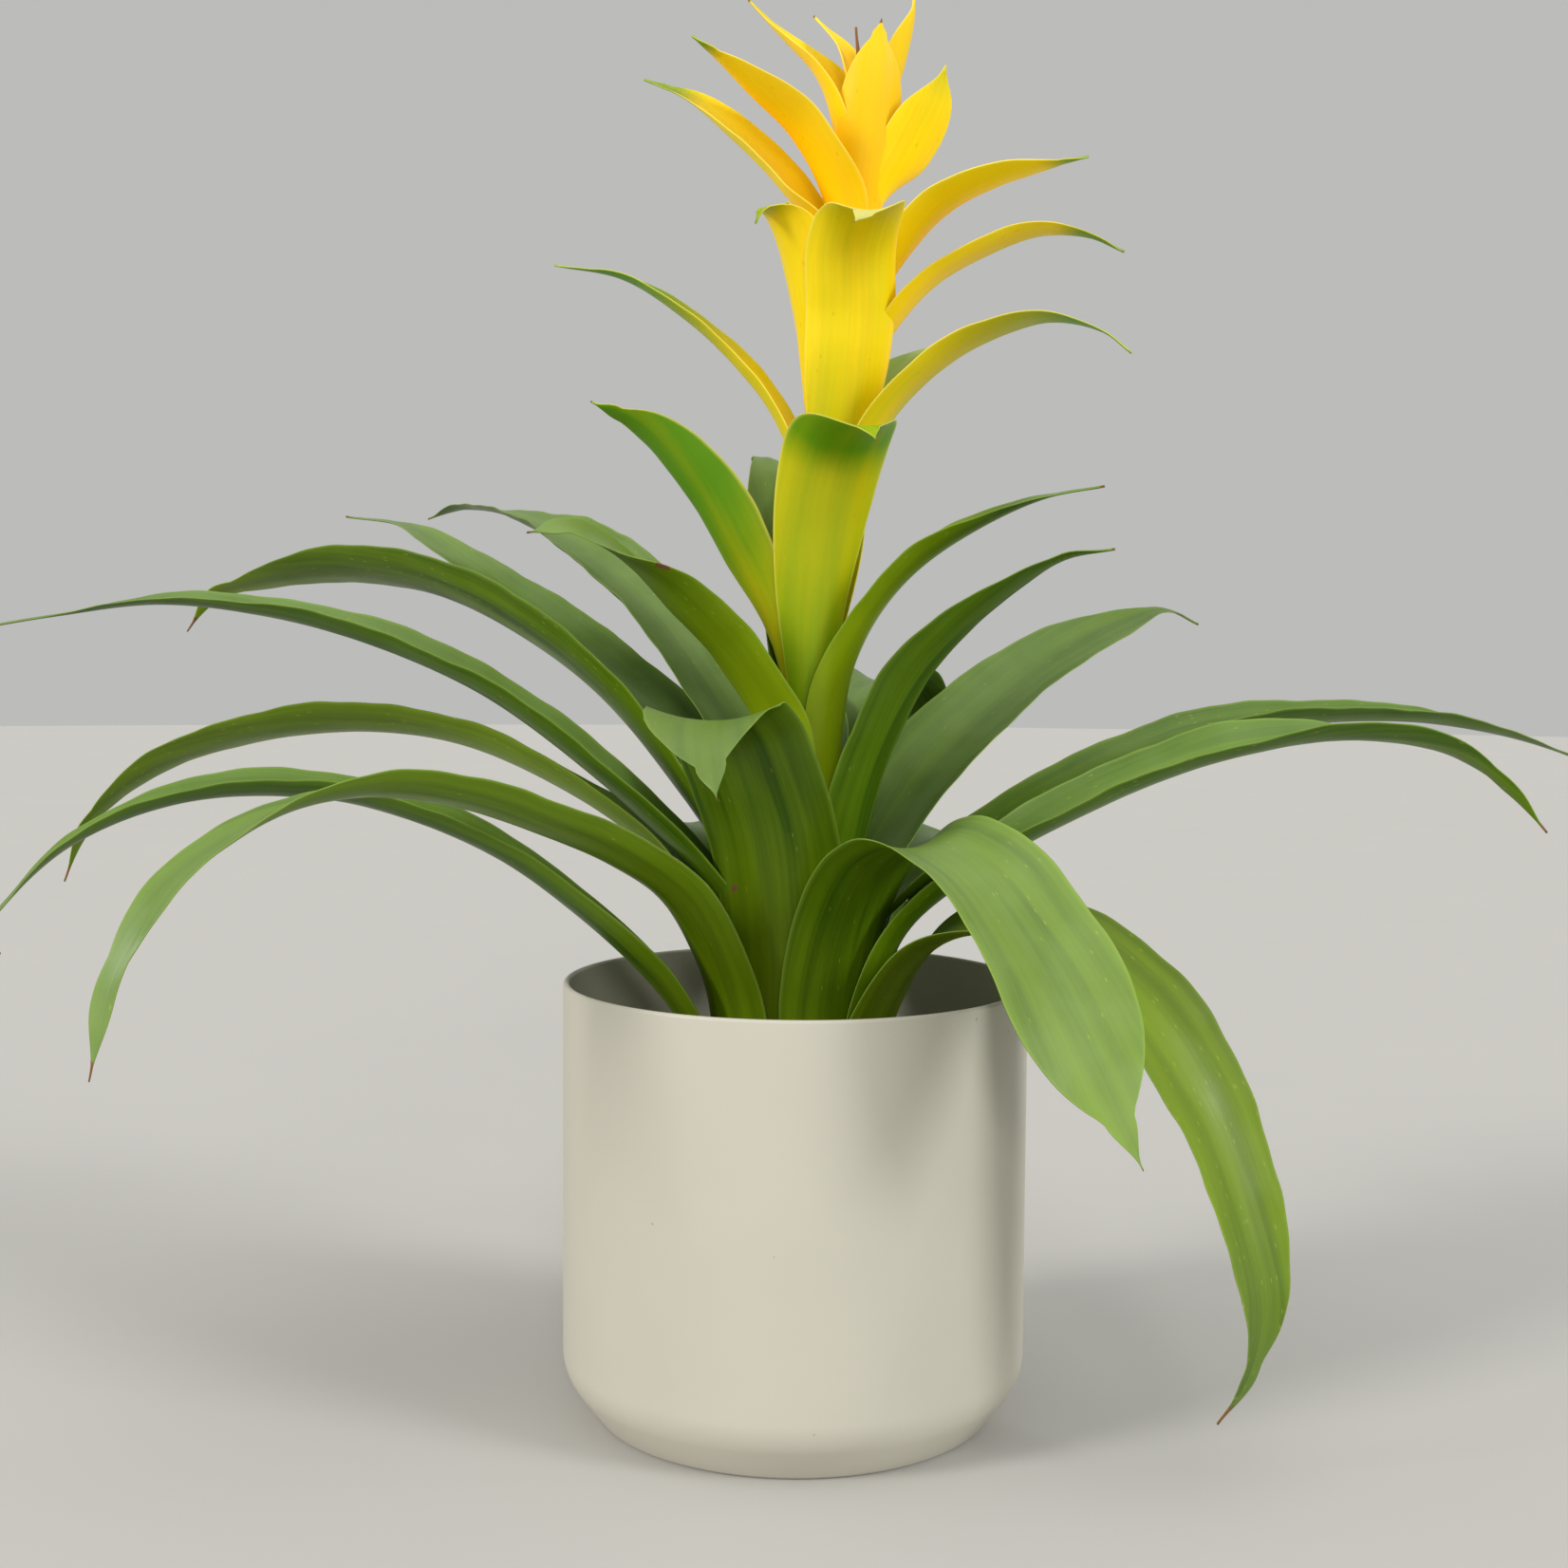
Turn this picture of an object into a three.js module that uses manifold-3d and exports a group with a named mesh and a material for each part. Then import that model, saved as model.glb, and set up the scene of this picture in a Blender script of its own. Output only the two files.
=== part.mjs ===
import * as THREE from 'three';
import Module from 'manifold-3d';

// Millimetres, +Z up. The origin is the centre of the cover pot's flat base and +X is the viewer's right.
// Azimuths are in degrees about +Z: 0 is +X, 90 is away from the viewer, 180 is left and 270 is towards
// the viewer.

const wasm = await Module();
wasm.setup();

// Cover pot
const COVER_RADIUS = 75;
const COVER_HEIGHT = 140.4;
const COVER_WALL = 2;
const COVER_FLOOR = 2.5;
const COVER_BASE_RADIUS = 63.8;
const COVER_CONE_HEIGHT = 15;
const COVER_BEND = 17;
const COVER_EDGE_BREAK = 0.8;
const COVER_BEND_STEPS = 3;
const COVER_LIP_STEPS = 3;
const COVER_SEGMENTS = 48;

// Grower's pot standing inside it
const GROWER_RIM_RADIUS = 60;
const GROWER_MOUTH_RADIUS = 56.5;
const GROWER_BASE_RADIUS = 44;
const GROWER_HEIGHT = 102;
const GROWER_WALL = 1.2;
const GROWER_LIFT = 0.3;
const GROWER_BAND = 9;
const DRAIN_HOLES = 6;
const DRAIN_RADIUS = 4;
const DRAIN_CIRCLE = 27;
const GROWER_SEGMENTS = 36;

// Potting mix filling the grower's pot
const MIX_TOP = 96.5;
const MIX_GAP = 0.3;
const MIX_EDGE_DROP = 1.5;
const STEM_HOLE_GAP = 0.4;

// Stem: [height, radius], from the foot in the mix to the tip inside the last bracts
const STEM_PROFILE = [
  [72, 9], [84, 12], [97, 12.5], [108, 11.5], [125, 8.5], [150, 6.4],
  [220, 5.6], [300, 5], [360, 4.2], [405, 2.6], [418, 1.4],
];
const STEM_LEAN = 24;
const STEM_LEAN_FROM = 140;
const STEM_LEAN_TO = 449;
const STEM_LEAN_POWER = 1.3;
const STEM_SEGMENTS = 16;

// Blades
const BLADE_THICKNESS = 0.9;
const MARGIN_THICKNESS = 0.65;
const BLADE_SPANS_ACROSS = 4;
const LEAF_SPACING = 23;
const BRACT_SPACING = 15;
const FEWEST_SPANS = 6;
const TRIM_GAP = 0.25;
const TIP_WIDTH = 1.4;
const OPENING_START = 2;
const OPENING_END = 26;
const FREE_START = 4;
const FREE_END = 24;
const USUAL_CLASP = 1.1;
const USUAL_WIDEN = 0.4;
const USUAL_TAPER = 0.46;
const TAPER_END = 0.95;
const USUAL_FULLNESS = 3;
const DRIP_SHARE = 0.2;
const DRIP_LENGTH = 0.07;
const ROLL_START = 0.1;
const ROLL_END = 0.5;
const TWIST_START = 0.6;
const LENGTH_DIVISIONS = 400;

// Each blade: azimuth, widest width, channel angle across it, and the points its midrib passes, as
// [reach from the stem, height, sideways]. Where they differ from the usual: roll of the outer part and
// twist of the tip in degrees, clasp (share of the width at the foot), widen (share of the length over
// which the foot widens), taper (share of the length where it starts to narrow) and fullness (1 narrows
// in a straight line, 3 stays full until near the tip).
const LEAVES = [
  {
    name: 'leaf_01', azimuth: 193, width: 31, channel: 105, roll: -4,
    path: [
      [26, 99], [28, 108], [35, 123], [49, 142], [73, 164.5], [97, 182], [126, 195], [152, 201],
      [190, 200], [223, 187], [244, 167], [250, 157], [243, 155],
    ],
  },
  {
    name: 'leaf_02', azimuth: 332, width: 35, channel: 70, roll: 28,
    path: [
      [26, 99], [28, 112], [34, 132], [48, 153], [70, 162], [94, 157], [116, 141], [135, 115],
      [148, 84], [155, 56], [151, 34], [142, 19],
    ],
  },
  {
    name: 'leaf_04', azimuth: 76, width: 34, channel: 90,
    path: [[26, 99], [28, 110], [34, 128], [50, 148], [82, 166], [120, 168], [152, 152], [174, 126]],
  },
  {
    name: 'leaf_03', azimuth: 214, width: 33, channel: 95, roll: 14, twist: -60, taper: 0.12,
    path: [
      [24.3, 99], [25.5, 112], [30, 140], [46, 167], [66, 181], [91, 192], [117, 201],
      [146, 205], [174, 200], [203, 183], [219, 159], [225, 132],
    ],
  },
  {
    name: 'leaf_07', azimuth: 14, width: 34, channel: 105, roll: 4,
    path: [
      [19.2, 99], [19.4, 122], [21, 142], [29, 160], [60, 180], [98, 201.5], [138, 217],
      [180, 223], [222, 223.5], [262, 217.5], [290, 209], [306, 201],
    ],
  },
  {
    name: 'leaf_08', azimuth: 112, width: 34, channel: 90,
    path: [[24.3, 99], [25.5, 112], [29, 135], [38, 155], [58, 172], [88, 182], [116, 180], [138, 166]],
  },
  {
    name: 'leaf_05', azimuth: 308, width: 46, channel: 60, roll: 6, twist: 24, clasp: 0.9, taper: 0.62, fullness: 3.5,
    path: [
      [22.6, 99], [23, 118], [25, 140], [31, 163], [44, 181], [62, 188], [82, 182, 2],
      [102, 164, 4], [120, 142, 5], [134, 123, 5], [147, 107, 4],
    ],
  },
  {
    name: 'leaf_06', azimuth: 168, width: 34, channel: 90, roll: 14,
    path: [
      [22.6, 99], [23, 118], [26, 142], [34, 163], [50, 182], [78, 200], [115, 215], [150, 219],
      [195, 214], [228, 203], [253, 184], [262, 164],
    ],
  },
  {
    name: 'leaf_12', azimuth: 52, width: 34, channel: 90,
    path: [
      [22.6, 99], [23, 118], [26, 138], [34, 156], [50, 170], [78, 180], [110, 172], [132, 150],
      [145, 122],
    ],
  },
  {
    name: 'leaf_09', azimuth: 252, width: 46, channel: 50, taper: 0.78, fullness: 1.3,
    path: [
      [20.9, 99], [21.2, 125], [24.5, 158], [33, 188, -1], [43, 208, -2.5], [51, 220, -5],
      [60, 225.5, -7.5], [70, 221, -5], [78, 213, -1], [84, 204, 3],
    ],
  },
  {
    name: 'leaf_10', azimuth: 347, width: 35, channel: 100, roll: 14, twist: -50,
    path: [
      [24.3, 99], [25.3, 114], [28, 136], [36, 157], [59, 177], [94, 198], [135, 215],
      [175, 221], [204, 217], [219, 206], [229, 194],
    ],
  },
  {
    name: 'leaf_14', azimuth: 96, width: 34, channel: 90,
    path: [
      [20.9, 99], [21.2, 120], [23.5, 145], [30, 168], [46, 187], [80, 200], [120, 200],
      [155, 181], [180, 150],
    ],
  },
  {
    name: 'leaf_11', azimuth: 184, width: 32, channel: 105, roll: -6,
    path: [
      [19.2, 99], [19.3, 130], [20.8, 150], [26, 167], [43, 186], [66, 207], [100, 232],
      [133, 247], [165, 256], [200, 260], [233, 256], [256, 252],
    ],
  },
  {
    name: 'leaf_15', azimuth: 30, width: 40, channel: 80, roll: 16, clasp: 0.85,
    path: [
      [17.5, 99], [17.6, 130], [19, 152], [27, 175], [48, 202], [68, 220], [94, 238],
      [128, 255], [152, 262], [168, 257],
    ],
  },
  {
    name: 'leaf_13', azimuth: 158, width: 42, channel: 90, roll: 22,
    path: [
      [17.5, 99], [17.6, 130], [19, 155], [26, 178], [43, 202], [72, 232], [104, 253],
      [138, 267], [175, 272], [211, 269], [228, 265], [240, 252],
    ],
  },
  {
    name: 'leaf_17', azimuth: 335, width: 33, channel: 90, roll: -8,
    path: [
      [15.8, 99], [15.8, 130], [16.2, 160], [19.5, 190], [28, 217], [45, 242], [68, 263],
      [88, 275], [104, 277.5],
    ],
  },
  {
    name: 'leaf_16', azimuth: 142, width: 30, channel: 90, roll: -6,
    path: [
      [15.8, 99], [15.8, 135], [17, 165], [27, 191], [48, 215], [78, 236], [116, 257],
      [158, 279], [186, 292], [221, 297],
    ],
  },
  {
    name: 'leaf_18', azimuth: 56, width: 44, channel: 80, clasp: 0.7,
    path: [
      [14.1, 99], [14.1, 135], [14.4, 160], [17, 188], [26, 214], [42, 231], [60, 235],
      [74, 226], [84, 207], [88, 190],
    ],
  },
  {
    name: 'leaf_19', azimuth: 132, width: 34, channel: 105, roll: -12, twist: 24,
    path: [
      [12.5, 112], [12.4, 145], [13, 172], [18, 197], [35, 224], [58, 246], [88, 268],
      [124, 285], [162, 297], [200, 301], [220, 298],
    ],
  },
  {
    name: 'leaf_20', azimuth: 210, width: 34, channel: 100, roll: 4, twist: -50, clasp: 0.9,
    path: [[11.6, 172], [12, 195], [15.5, 219], [27, 240], [44, 258], [61, 272], [80, 283], [95, 281]],
  },
  {
    name: 'leaf_21', azimuth: 340, width: 32, channel: 100, roll: 10, clasp: 0.95,
    path: [
      [10, 174], [10, 200], [10.4, 222], [12.5, 241], [21.5, 258], [38, 272], [57, 284.5],
      [79, 294], [97, 297],
    ],
  },
  {
    name: 'leaf_22', azimuth: 108, width: 30, channel: 90, clasp: 0.7,
    path: [[8.5, 182], [9.6, 207], [13, 234], [20, 262], [29, 290], [38, 307], [48, 312], [56, 306]],
  },
  {
    name: 'leaf_23', azimuth: 84, width: 26, channel: 90, clasp: 0.6,
    path: [[11.2, 162], [11.4, 186], [14.5, 204], [22, 218], [34, 228], [46, 230], [56, 222]],
  },
];

const BRACTS = [
  {
    name: 'bract_01', azimuth: 278, width: 38, channel: 100, clasp: 0.3, widen: 0.85, taper: 0.7,
    path: [
      [7, 204], [8.5, 224, -1], [12, 242, -3], [17, 262, -4], [25, 287, -0.5], [36, 304, 3.5],
      [50, 311, 6], [62, 311, 8], [69, 307, 9],
    ],
  },
  {
    name: 'bract_02', azimuth: 176, width: 42, channel: 85, roll: 28, clasp: 0.5, widen: 0.6,
    path: [[6.8, 214], [9, 233], [16.5, 255], [27, 279], [39, 300], [54, 317], [71, 326]],
  },
  {
    name: 'bract_03', azimuth: 80, width: 27, channel: 90, clasp: 0.5,
    path: [[6.6, 230], [7.8, 250], [13, 276], [22, 296], [35, 305], [47, 300]],
  },
  {
    name: 'bract_04', azimuth: 110, width: 20, channel: 90, clasp: 0.4,
    path: [[6.3, 262], [7.2, 280], [9.5, 302], [15, 316], [23, 321], [30, 317]],
  },
  {
    name: 'bract_05', azimuth: 170, width: 25, channel: 75, roll: -4, clasp: 0.6,
    path: [
      [6.1, 270], [8.3, 287], [12, 304.5], [19, 322], [30, 339], [45.5, 353], [66, 366],
      [89, 371],
    ],
  },
  {
    name: 'bract_06', azimuth: 46, width: 27, channel: 90, clasp: 0.6,
    path: [[6.1, 276], [8.8, 292], [13, 307], [21, 321], [32, 335], [43, 345], [53, 349]],
  },
  {
    name: 'bract_07', azimuth: 340, width: 27, channel: 50, clasp: 0.65,
    path: [
      [6.1, 283], [8.5, 299], [13, 311], [22, 323], [35, 334], [51, 343], [70, 348], [88, 344],
      [97, 337],
    ],
  },
  {
    name: 'bract_08', azimuth: 285, width: 33, channel: 110, clasp: 0.6, taper: 0.6,
    path: [
      [6, 290], [9.5, 307], [13.5, 325], [17, 340], [19.5, 353], [26, 367], [37, 375],
      [51, 375, -4], [59, 370, -10],
    ],
  },
  {
    name: 'bract_09', azimuth: 100, width: 26, channel: 90, clasp: 0.6,
    path: [[6, 297], [8, 316], [13, 338], [22, 354], [34, 360], [45, 355]],
  },
  {
    name: 'bract_10', azimuth: 222, width: 25, channel: 100, clasp: 0.6, taper: 0.7,
    path: [[5.9, 303], [9, 317], [12.5, 335], [16, 353], [20, 369], [25, 380], [30, 382], [33, 377]],
  },
  {
    name: 'bract_11', azimuth: 352, width: 27, channel: 70, roll: 2, clasp: 0.5,
    path: [[5.7, 316], [7.5, 332], [15, 346.5], [31, 362], [49, 372], [64, 377], [79, 376], [90, 371]],
  },
  {
    name: 'bract_12', azimuth: 75, width: 24, channel: 90, clasp: 0.5,
    path: [[5.6, 324], [7.6, 341], [12.5, 361], [21, 375], [32, 382], [42, 378]],
  },
  {
    name: 'bract_13', azimuth: 125, width: 24, channel: 90, clasp: 0.6,
    path: [[5.5, 330], [7, 348], [11, 370], [18, 385], [27, 392], [34, 389]],
  },
  {
    name: 'bract_14', azimuth: 335, width: 27, channel: 55, roll: 0, clasp: 0.6,
    path: [[5.4, 337], [8.5, 354], [18, 370], [33, 383], [50, 390], [66, 393.5], [80, 395]],
  },
  {
    name: 'bract_15', azimuth: 190, width: 30, channel: 80, roll: -30, clasp: 0.6,
    path: [[5.3, 343], [7, 360], [13, 378], [23, 394], [37, 408], [50, 418], [64, 423]],
  },
  {
    name: 'bract_16', azimuth: 96, width: 20, channel: 90, clasp: 0.45,
    path: [[5.2, 349], [7, 368], [11, 388], [18, 402], [28, 408]],
  },
  {
    name: 'bract_17', azimuth: 208, width: 30, channel: 100, roll: -8, clasp: 0.6,
    path: [[5.1, 355], [7.2, 372], [11.3, 389], [20.5, 406], [34, 418], [46, 427], [55, 432]],
  },
  {
    name: 'bract_18', azimuth: 52, width: 20, channel: 90, clasp: 0.5,
    path: [[5, 362], [6.6, 381], [10, 399], [16, 411], [24, 415]],
  },
  {
    name: 'bract_19', azimuth: 168, width: 29, channel: 85, roll: -12, clasp: 0.45,
    path: [[4.9, 367], [6.2, 390], [9.2, 410], [15, 427], [24, 441], [34, 453]],
  },
  {
    name: 'bract_20', azimuth: 338, width: 22, channel: 70, roll: -36, clasp: 0.5,
    path: [[4.5, 378], [8, 389], [15, 400], [21, 409], [26.5, 418], [29.5, 428]],
  },
  {
    name: 'bract_21', azimuth: 277, width: 24, channel: 115, clasp: 0.5,
    path: [[4.8, 369], [7.5, 387], [10.5, 404], [12.5, 420], [12.5, 431], [11, 442]],
  },
  {
    name: 'bract_22', azimuth: 140, width: 14, channel: 90, clasp: 0.6,
    path: [[3.9, 389], [4.6, 407], [6.8, 424], [12, 438], [21, 450]],
  },
  {
    name: 'bract_23', azimuth: 350, width: 22, channel: 115, clasp: 0.5,
    path: [[3.6, 398], [5, 410], [8.5, 424], [11, 437], [11.8, 446], [11.2, 452]],
  },
  {
    name: 'bract_24', azimuth: 170, width: 5, channel: 60, clasp: 1,
    path: [[3.5, 407], [4.2, 421], [5, 433], [6.6, 443]],
  },
];

function material(color, roughness, metalness = 0) {
  return new THREE.MeshStandardMaterial({ color, roughness, metalness });
}

const GREEN = material(0x3f7a2a, 0.45);
const YELLOW = material(0xf2c318, 0.45);
const STEM_GREEN = material(0xa8b84a, 0.5);
const PAINT = material(0xc9c5b8, 0.5, 0);
const BLACK_PLASTIC = material(0x1d1c1b, 0.6);
const MIX = material(0x3a2a1d, 0.95);

function radians(degrees) {
  return THREE.MathUtils.degToRad(degrees);
}

function smooth(value, from, to) {
  return THREE.MathUtils.smoothstep(value, from, to);
}

function stemShift(height) {
  const rise = Math.max(0, height - STEM_LEAN_FROM) / (STEM_LEAN_TO - STEM_LEAN_FROM);
  return STEM_LEAN * rise ** STEM_LEAN_POWER;
}

function meshFrom(positions, indices) {
  const geometry = new THREE.BufferGeometry();
  geometry.setAttribute('position', new THREE.Float32BufferAttribute(positions, 3));
  geometry.setIndex(indices);
  geometry.computeVertexNormals();
  return geometry;
}

// Share of the widest width at each share of the blade's length
function widthShare(along, clasp, widen, taper, fullness) {
  const narrowing = Math.min(1, Math.max(0, (along - taper) / (TAPER_END - taper)));
  const shoulder = 1 - narrowing ** fullness;
  const foot = 1 + (clasp - 1) * (1 - smooth(along, 0, widen));
  const drip = DRIP_SHARE * smooth(1 - along, 0, DRIP_LENGTH);
  return Math.max(shoulder * foot, drip);
}

function bladeStations(blade, spacing) {
  const turn = radians(blade.azimuth);
  const outward = new THREE.Vector3(Math.cos(turn), Math.sin(turn), 0);
  const sideways = new THREE.Vector3(-Math.sin(turn), Math.cos(turn), 0);
  const footRadius = blade.path[0][0];
  const footShift = stemShift(blade.path[0][1]);
  const origin = new THREE.Vector3(footShift, 0, 0);
  const points = blade.path.map(([reach, height, side = 0]) => {
    const nearStem = 1 - smooth(reach, footRadius + FREE_START, footRadius + FREE_END);
    return origin.clone()
      .setX(THREE.MathUtils.lerp(footShift, stemShift(height), nearStem))
      .addScaledVector(outward, reach)
      .addScaledVector(sideways, side)
      .setZ(height);
  });
  const midrib = new THREE.CatmullRomCurve3(points, false, 'centripetal');
  midrib.arcLengthDivisions = LENGTH_DIVISIONS;
  const count = Math.max(FEWEST_SPANS, Math.round(midrib.getLength() / spacing));
  const stations = [];
  for (let step = 0; step <= count; step += 1) {
    const along = step / count;
    const tangent = midrib.getTangentAt(along).normalize();
    const across = sideways.clone().addScaledVector(tangent, -sideways.dot(tangent)).normalize();
    const inward = new THREE.Vector3().crossVectors(tangent, across);
    const rolled = (blade.roll ?? 0) * smooth(along, ROLL_START, ROLL_END);
    const twisted = (blade.twist ?? 0) * smooth(along, TWIST_START, 1);
    const roll = radians(rolled + twisted);
    const side = across.clone().multiplyScalar(Math.cos(roll)).addScaledVector(inward, Math.sin(roll));
    const inner = inward.clone().multiplyScalar(Math.cos(roll)).addScaledVector(across, -Math.sin(roll));
    const share = widthShare(
      along,
      blade.clasp ?? USUAL_CLASP,
      blade.widen ?? USUAL_WIDEN,
      blade.taper ?? USUAL_TAPER,
      blade.fullness ?? USUAL_FULLNESS,
    );
    const width = Math.max(TIP_WIDTH, blade.width * share);
    const point = midrib.getPointAt(along);
    const axis = new THREE.Vector3(stemShift(point.z), 0, point.z);
    const reach = Math.max(footRadius, point.clone().sub(axis).dot(outward));
    const openBend = radians(blade.channel) / blade.width;
    const opened = smooth(reach, footRadius + OPENING_START, footRadius + OPENING_END);
    const bend = THREE.MathUtils.lerp(1 / reach, openBend, opened);
    stations.push({ point, side, inner, width, bend });
  }
  return stations;
}

function bladeGeometry(blade, spacing, grow = 0) {
  const positions = [];
  const indices = [];
  const columns = BLADE_SPANS_ACROSS + 1;
  const stations = bladeStations(blade, spacing);
  for (const face of [-1, 1]) {
    for (const station of stations) {
      const radius = 1 / station.bend;
      for (let column = 0; column < columns; column += 1) {
        const share = (2 * column) / BLADE_SPANS_ACROSS - 1;
        const angle = share * (station.width / 2 + grow) * station.bend;
        const half = THREE.MathUtils.lerp(BLADE_THICKNESS, MARGIN_THICKNESS, Math.abs(share)) / 2 + grow;
        const shifted = radius - face * half;
        const vertex = station.point.clone()
          .addScaledVector(station.side, shifted * Math.sin(angle))
          .addScaledVector(station.inner, radius - shifted * Math.cos(angle));
        positions.push(vertex.x, vertex.y, vertex.z);
      }
    }
  }
  const layer = stations.length * columns;
  const quad = (a, b, c, d) => indices.push(a, b, c, a, c, d);
  for (let row = 0; row < stations.length - 1; row += 1) {
    for (let column = 0; column < columns - 1; column += 1) {
      const start = row * columns + column;
      const inner = layer + start;
      indices.push(inner, inner + columns, inner + 1, inner + 1, inner + columns, inner + columns + 1);
      indices.push(start, start + 1, start + columns, start + 1, start + columns + 1, start + columns);
    }
    const left = row * columns;
    const right = left + columns - 1;
    quad(left, left + columns, layer + left + columns, layer + left);
    quad(right, layer + right, layer + right + columns, right + columns);
  }
  const last = (stations.length - 1) * columns;
  for (let column = 0; column < columns - 1; column += 1) {
    quad(column, layer + column, layer + column + 1, column + 1);
    quad(last + column, last + column + 1, layer + last + column + 1, layer + last + column);
  }
  return meshFrom(positions, indices);
}

// Closed solid of revolution from [radius, height] points listed once round the section, counter-clockwise
function turned(profile, segments, shift = () => 0) {
  const positions = [];
  const indices = [];
  const rings = profile.map(([radius, height]) => {
    const start = positions.length / 3;
    if (radius === 0) {
      positions.push(shift(height), 0, height);
      return { start, single: true };
    }
    for (let step = 0; step < segments; step += 1) {
      const turn = (2 * Math.PI * step) / segments;
      positions.push(shift(height) + radius * Math.cos(turn), radius * Math.sin(turn), height);
    }
    return { start, single: false };
  });
  const closed = !rings[0].single;
  const pairs = closed ? rings.length : rings.length - 1;
  for (let index = 0; index < pairs; index += 1) {
    const lower = rings[index];
    const upper = rings[(index + 1) % rings.length];
    for (let step = 0; step < segments; step += 1) {
      const next = (step + 1) % segments;
      const a = lower.single ? lower.start : lower.start + step;
      const b = lower.single ? lower.start : lower.start + next;
      const c = upper.single ? upper.start : upper.start + next;
      const d = upper.single ? upper.start : upper.start + step;
      if (!lower.single) {
        indices.push(a, b, upper.single ? c : d);
      }
      if (!upper.single) {
        indices.push(b, c, d);
      }
    }
  }
  return meshFrom(positions, indices);
}

// Points along the outside of the cover pot: flat base, cone, a round bend, then the upright wall
function coverOutline(inset) {
  const slope = Math.atan2(COVER_CONE_HEIGHT, COVER_RADIUS - COVER_BASE_RADIUS);
  const turn = Math.PI / 2 - slope;
  const tangentRun = COVER_BEND * Math.tan(turn / 2);
  const centreRadius = COVER_RADIUS - COVER_BEND;
  const centreHeight = COVER_CONE_HEIGHT + tangentRun;
  const points = [];
  for (let step = 0; step <= COVER_BEND_STEPS; step += 1) {
    const angle = -turn + (turn * step) / COVER_BEND_STEPS;
    points.push([
      centreRadius + (COVER_BEND - inset) * Math.cos(angle),
      centreHeight + (COVER_BEND - inset) * Math.sin(angle),
    ]);
  }
  return points;
}

function coverPot() {
  const outer = coverOutline(0);
  const inner = coverOutline(COVER_WALL);
  const slope = (COVER_RADIUS - COVER_BASE_RADIUS) / COVER_CONE_HEIGHT;
  const floorRadius = inner[0][0] - slope * (inner[0][1] - COVER_FLOOR);
  const lip = COVER_WALL / 2;
  const rim = [];
  for (let step = 0; step <= COVER_LIP_STEPS; step += 1) {
    const angle = (Math.PI * step) / COVER_LIP_STEPS;
    rim.push([COVER_RADIUS - lip + lip * Math.cos(angle), COVER_HEIGHT - lip + lip * Math.sin(angle)]);
  }
  return turned([
    [0, 0],
    [COVER_BASE_RADIUS - COVER_EDGE_BREAK, 0],
    [COVER_BASE_RADIUS + slope * COVER_EDGE_BREAK, COVER_EDGE_BREAK],
    ...outer,
    ...rim,
    ...inner.reverse(),
    [floorRadius, COVER_FLOOR],
    [0, COVER_FLOOR],
  ], COVER_SEGMENTS);
}

function solidFrom(geometry) {
  return new wasm.Manifold(new wasm.Mesh({
    numProp: 3,
    vertProperties: new Float32Array(geometry.attributes.position.array),
    triVerts: new Uint32Array(geometry.index.array),
  }));
}

function geometryFrom(solid) {
  const mesh = solid.getMesh();
  return meshFrom(Array.from(mesh.vertProperties), Array.from(mesh.triVerts));
}

function growerPot() {
  const base = COVER_FLOOR + GROWER_LIFT;
  const top = base + GROWER_HEIGHT;
  const taper = (GROWER_MOUTH_RADIUS - GROWER_BASE_RADIUS) / GROWER_HEIGHT;
  const wallRadius = (height) => GROWER_BASE_RADIUS + taper * (height - base);
  const bandFoot = top - GROWER_BAND;
  const bandRun = GROWER_RIM_RADIUS - GROWER_MOUTH_RADIUS;
  const shell = turned([
    [0, base],
    [GROWER_BASE_RADIUS, base],
    [wallRadius(bandFoot), bandFoot],
    [wallRadius(bandFoot) + bandRun, bandFoot],
    [GROWER_RIM_RADIUS, top],
    [GROWER_RIM_RADIUS - GROWER_WALL, top],
    [wallRadius(top) - GROWER_WALL, top - GROWER_WALL * 2],
    [wallRadius(base) - GROWER_WALL, base + GROWER_WALL],
    [0, base + GROWER_WALL],
  ], GROWER_SEGMENTS);
  let pot = solidFrom(shell);
  for (let hole = 0; hole < DRAIN_HOLES; hole += 1) {
    const turn = (2 * Math.PI * hole) / DRAIN_HOLES;
    const drill = wasm.Manifold.cylinder(GROWER_WALL * 3, DRAIN_RADIUS, DRAIN_RADIUS, 12)
      .translate([DRAIN_CIRCLE * Math.cos(turn), DRAIN_CIRCLE * Math.sin(turn), base - GROWER_WALL]);
    pot = pot.subtract(drill);
  }
  return geometryFrom(pot);
}

function stemRadius(height) {
  for (let index = 1; index < STEM_PROFILE.length; index += 1) {
    const [upperHeight, upperRadius] = STEM_PROFILE[index];
    const [lowerHeight, lowerRadius] = STEM_PROFILE[index - 1];
    if (height <= upperHeight) {
      return THREE.MathUtils.mapLinear(height, lowerHeight, upperHeight, lowerRadius, upperRadius);
    }
  }
  return STEM_PROFILE.at(-1)[1];
}

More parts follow.
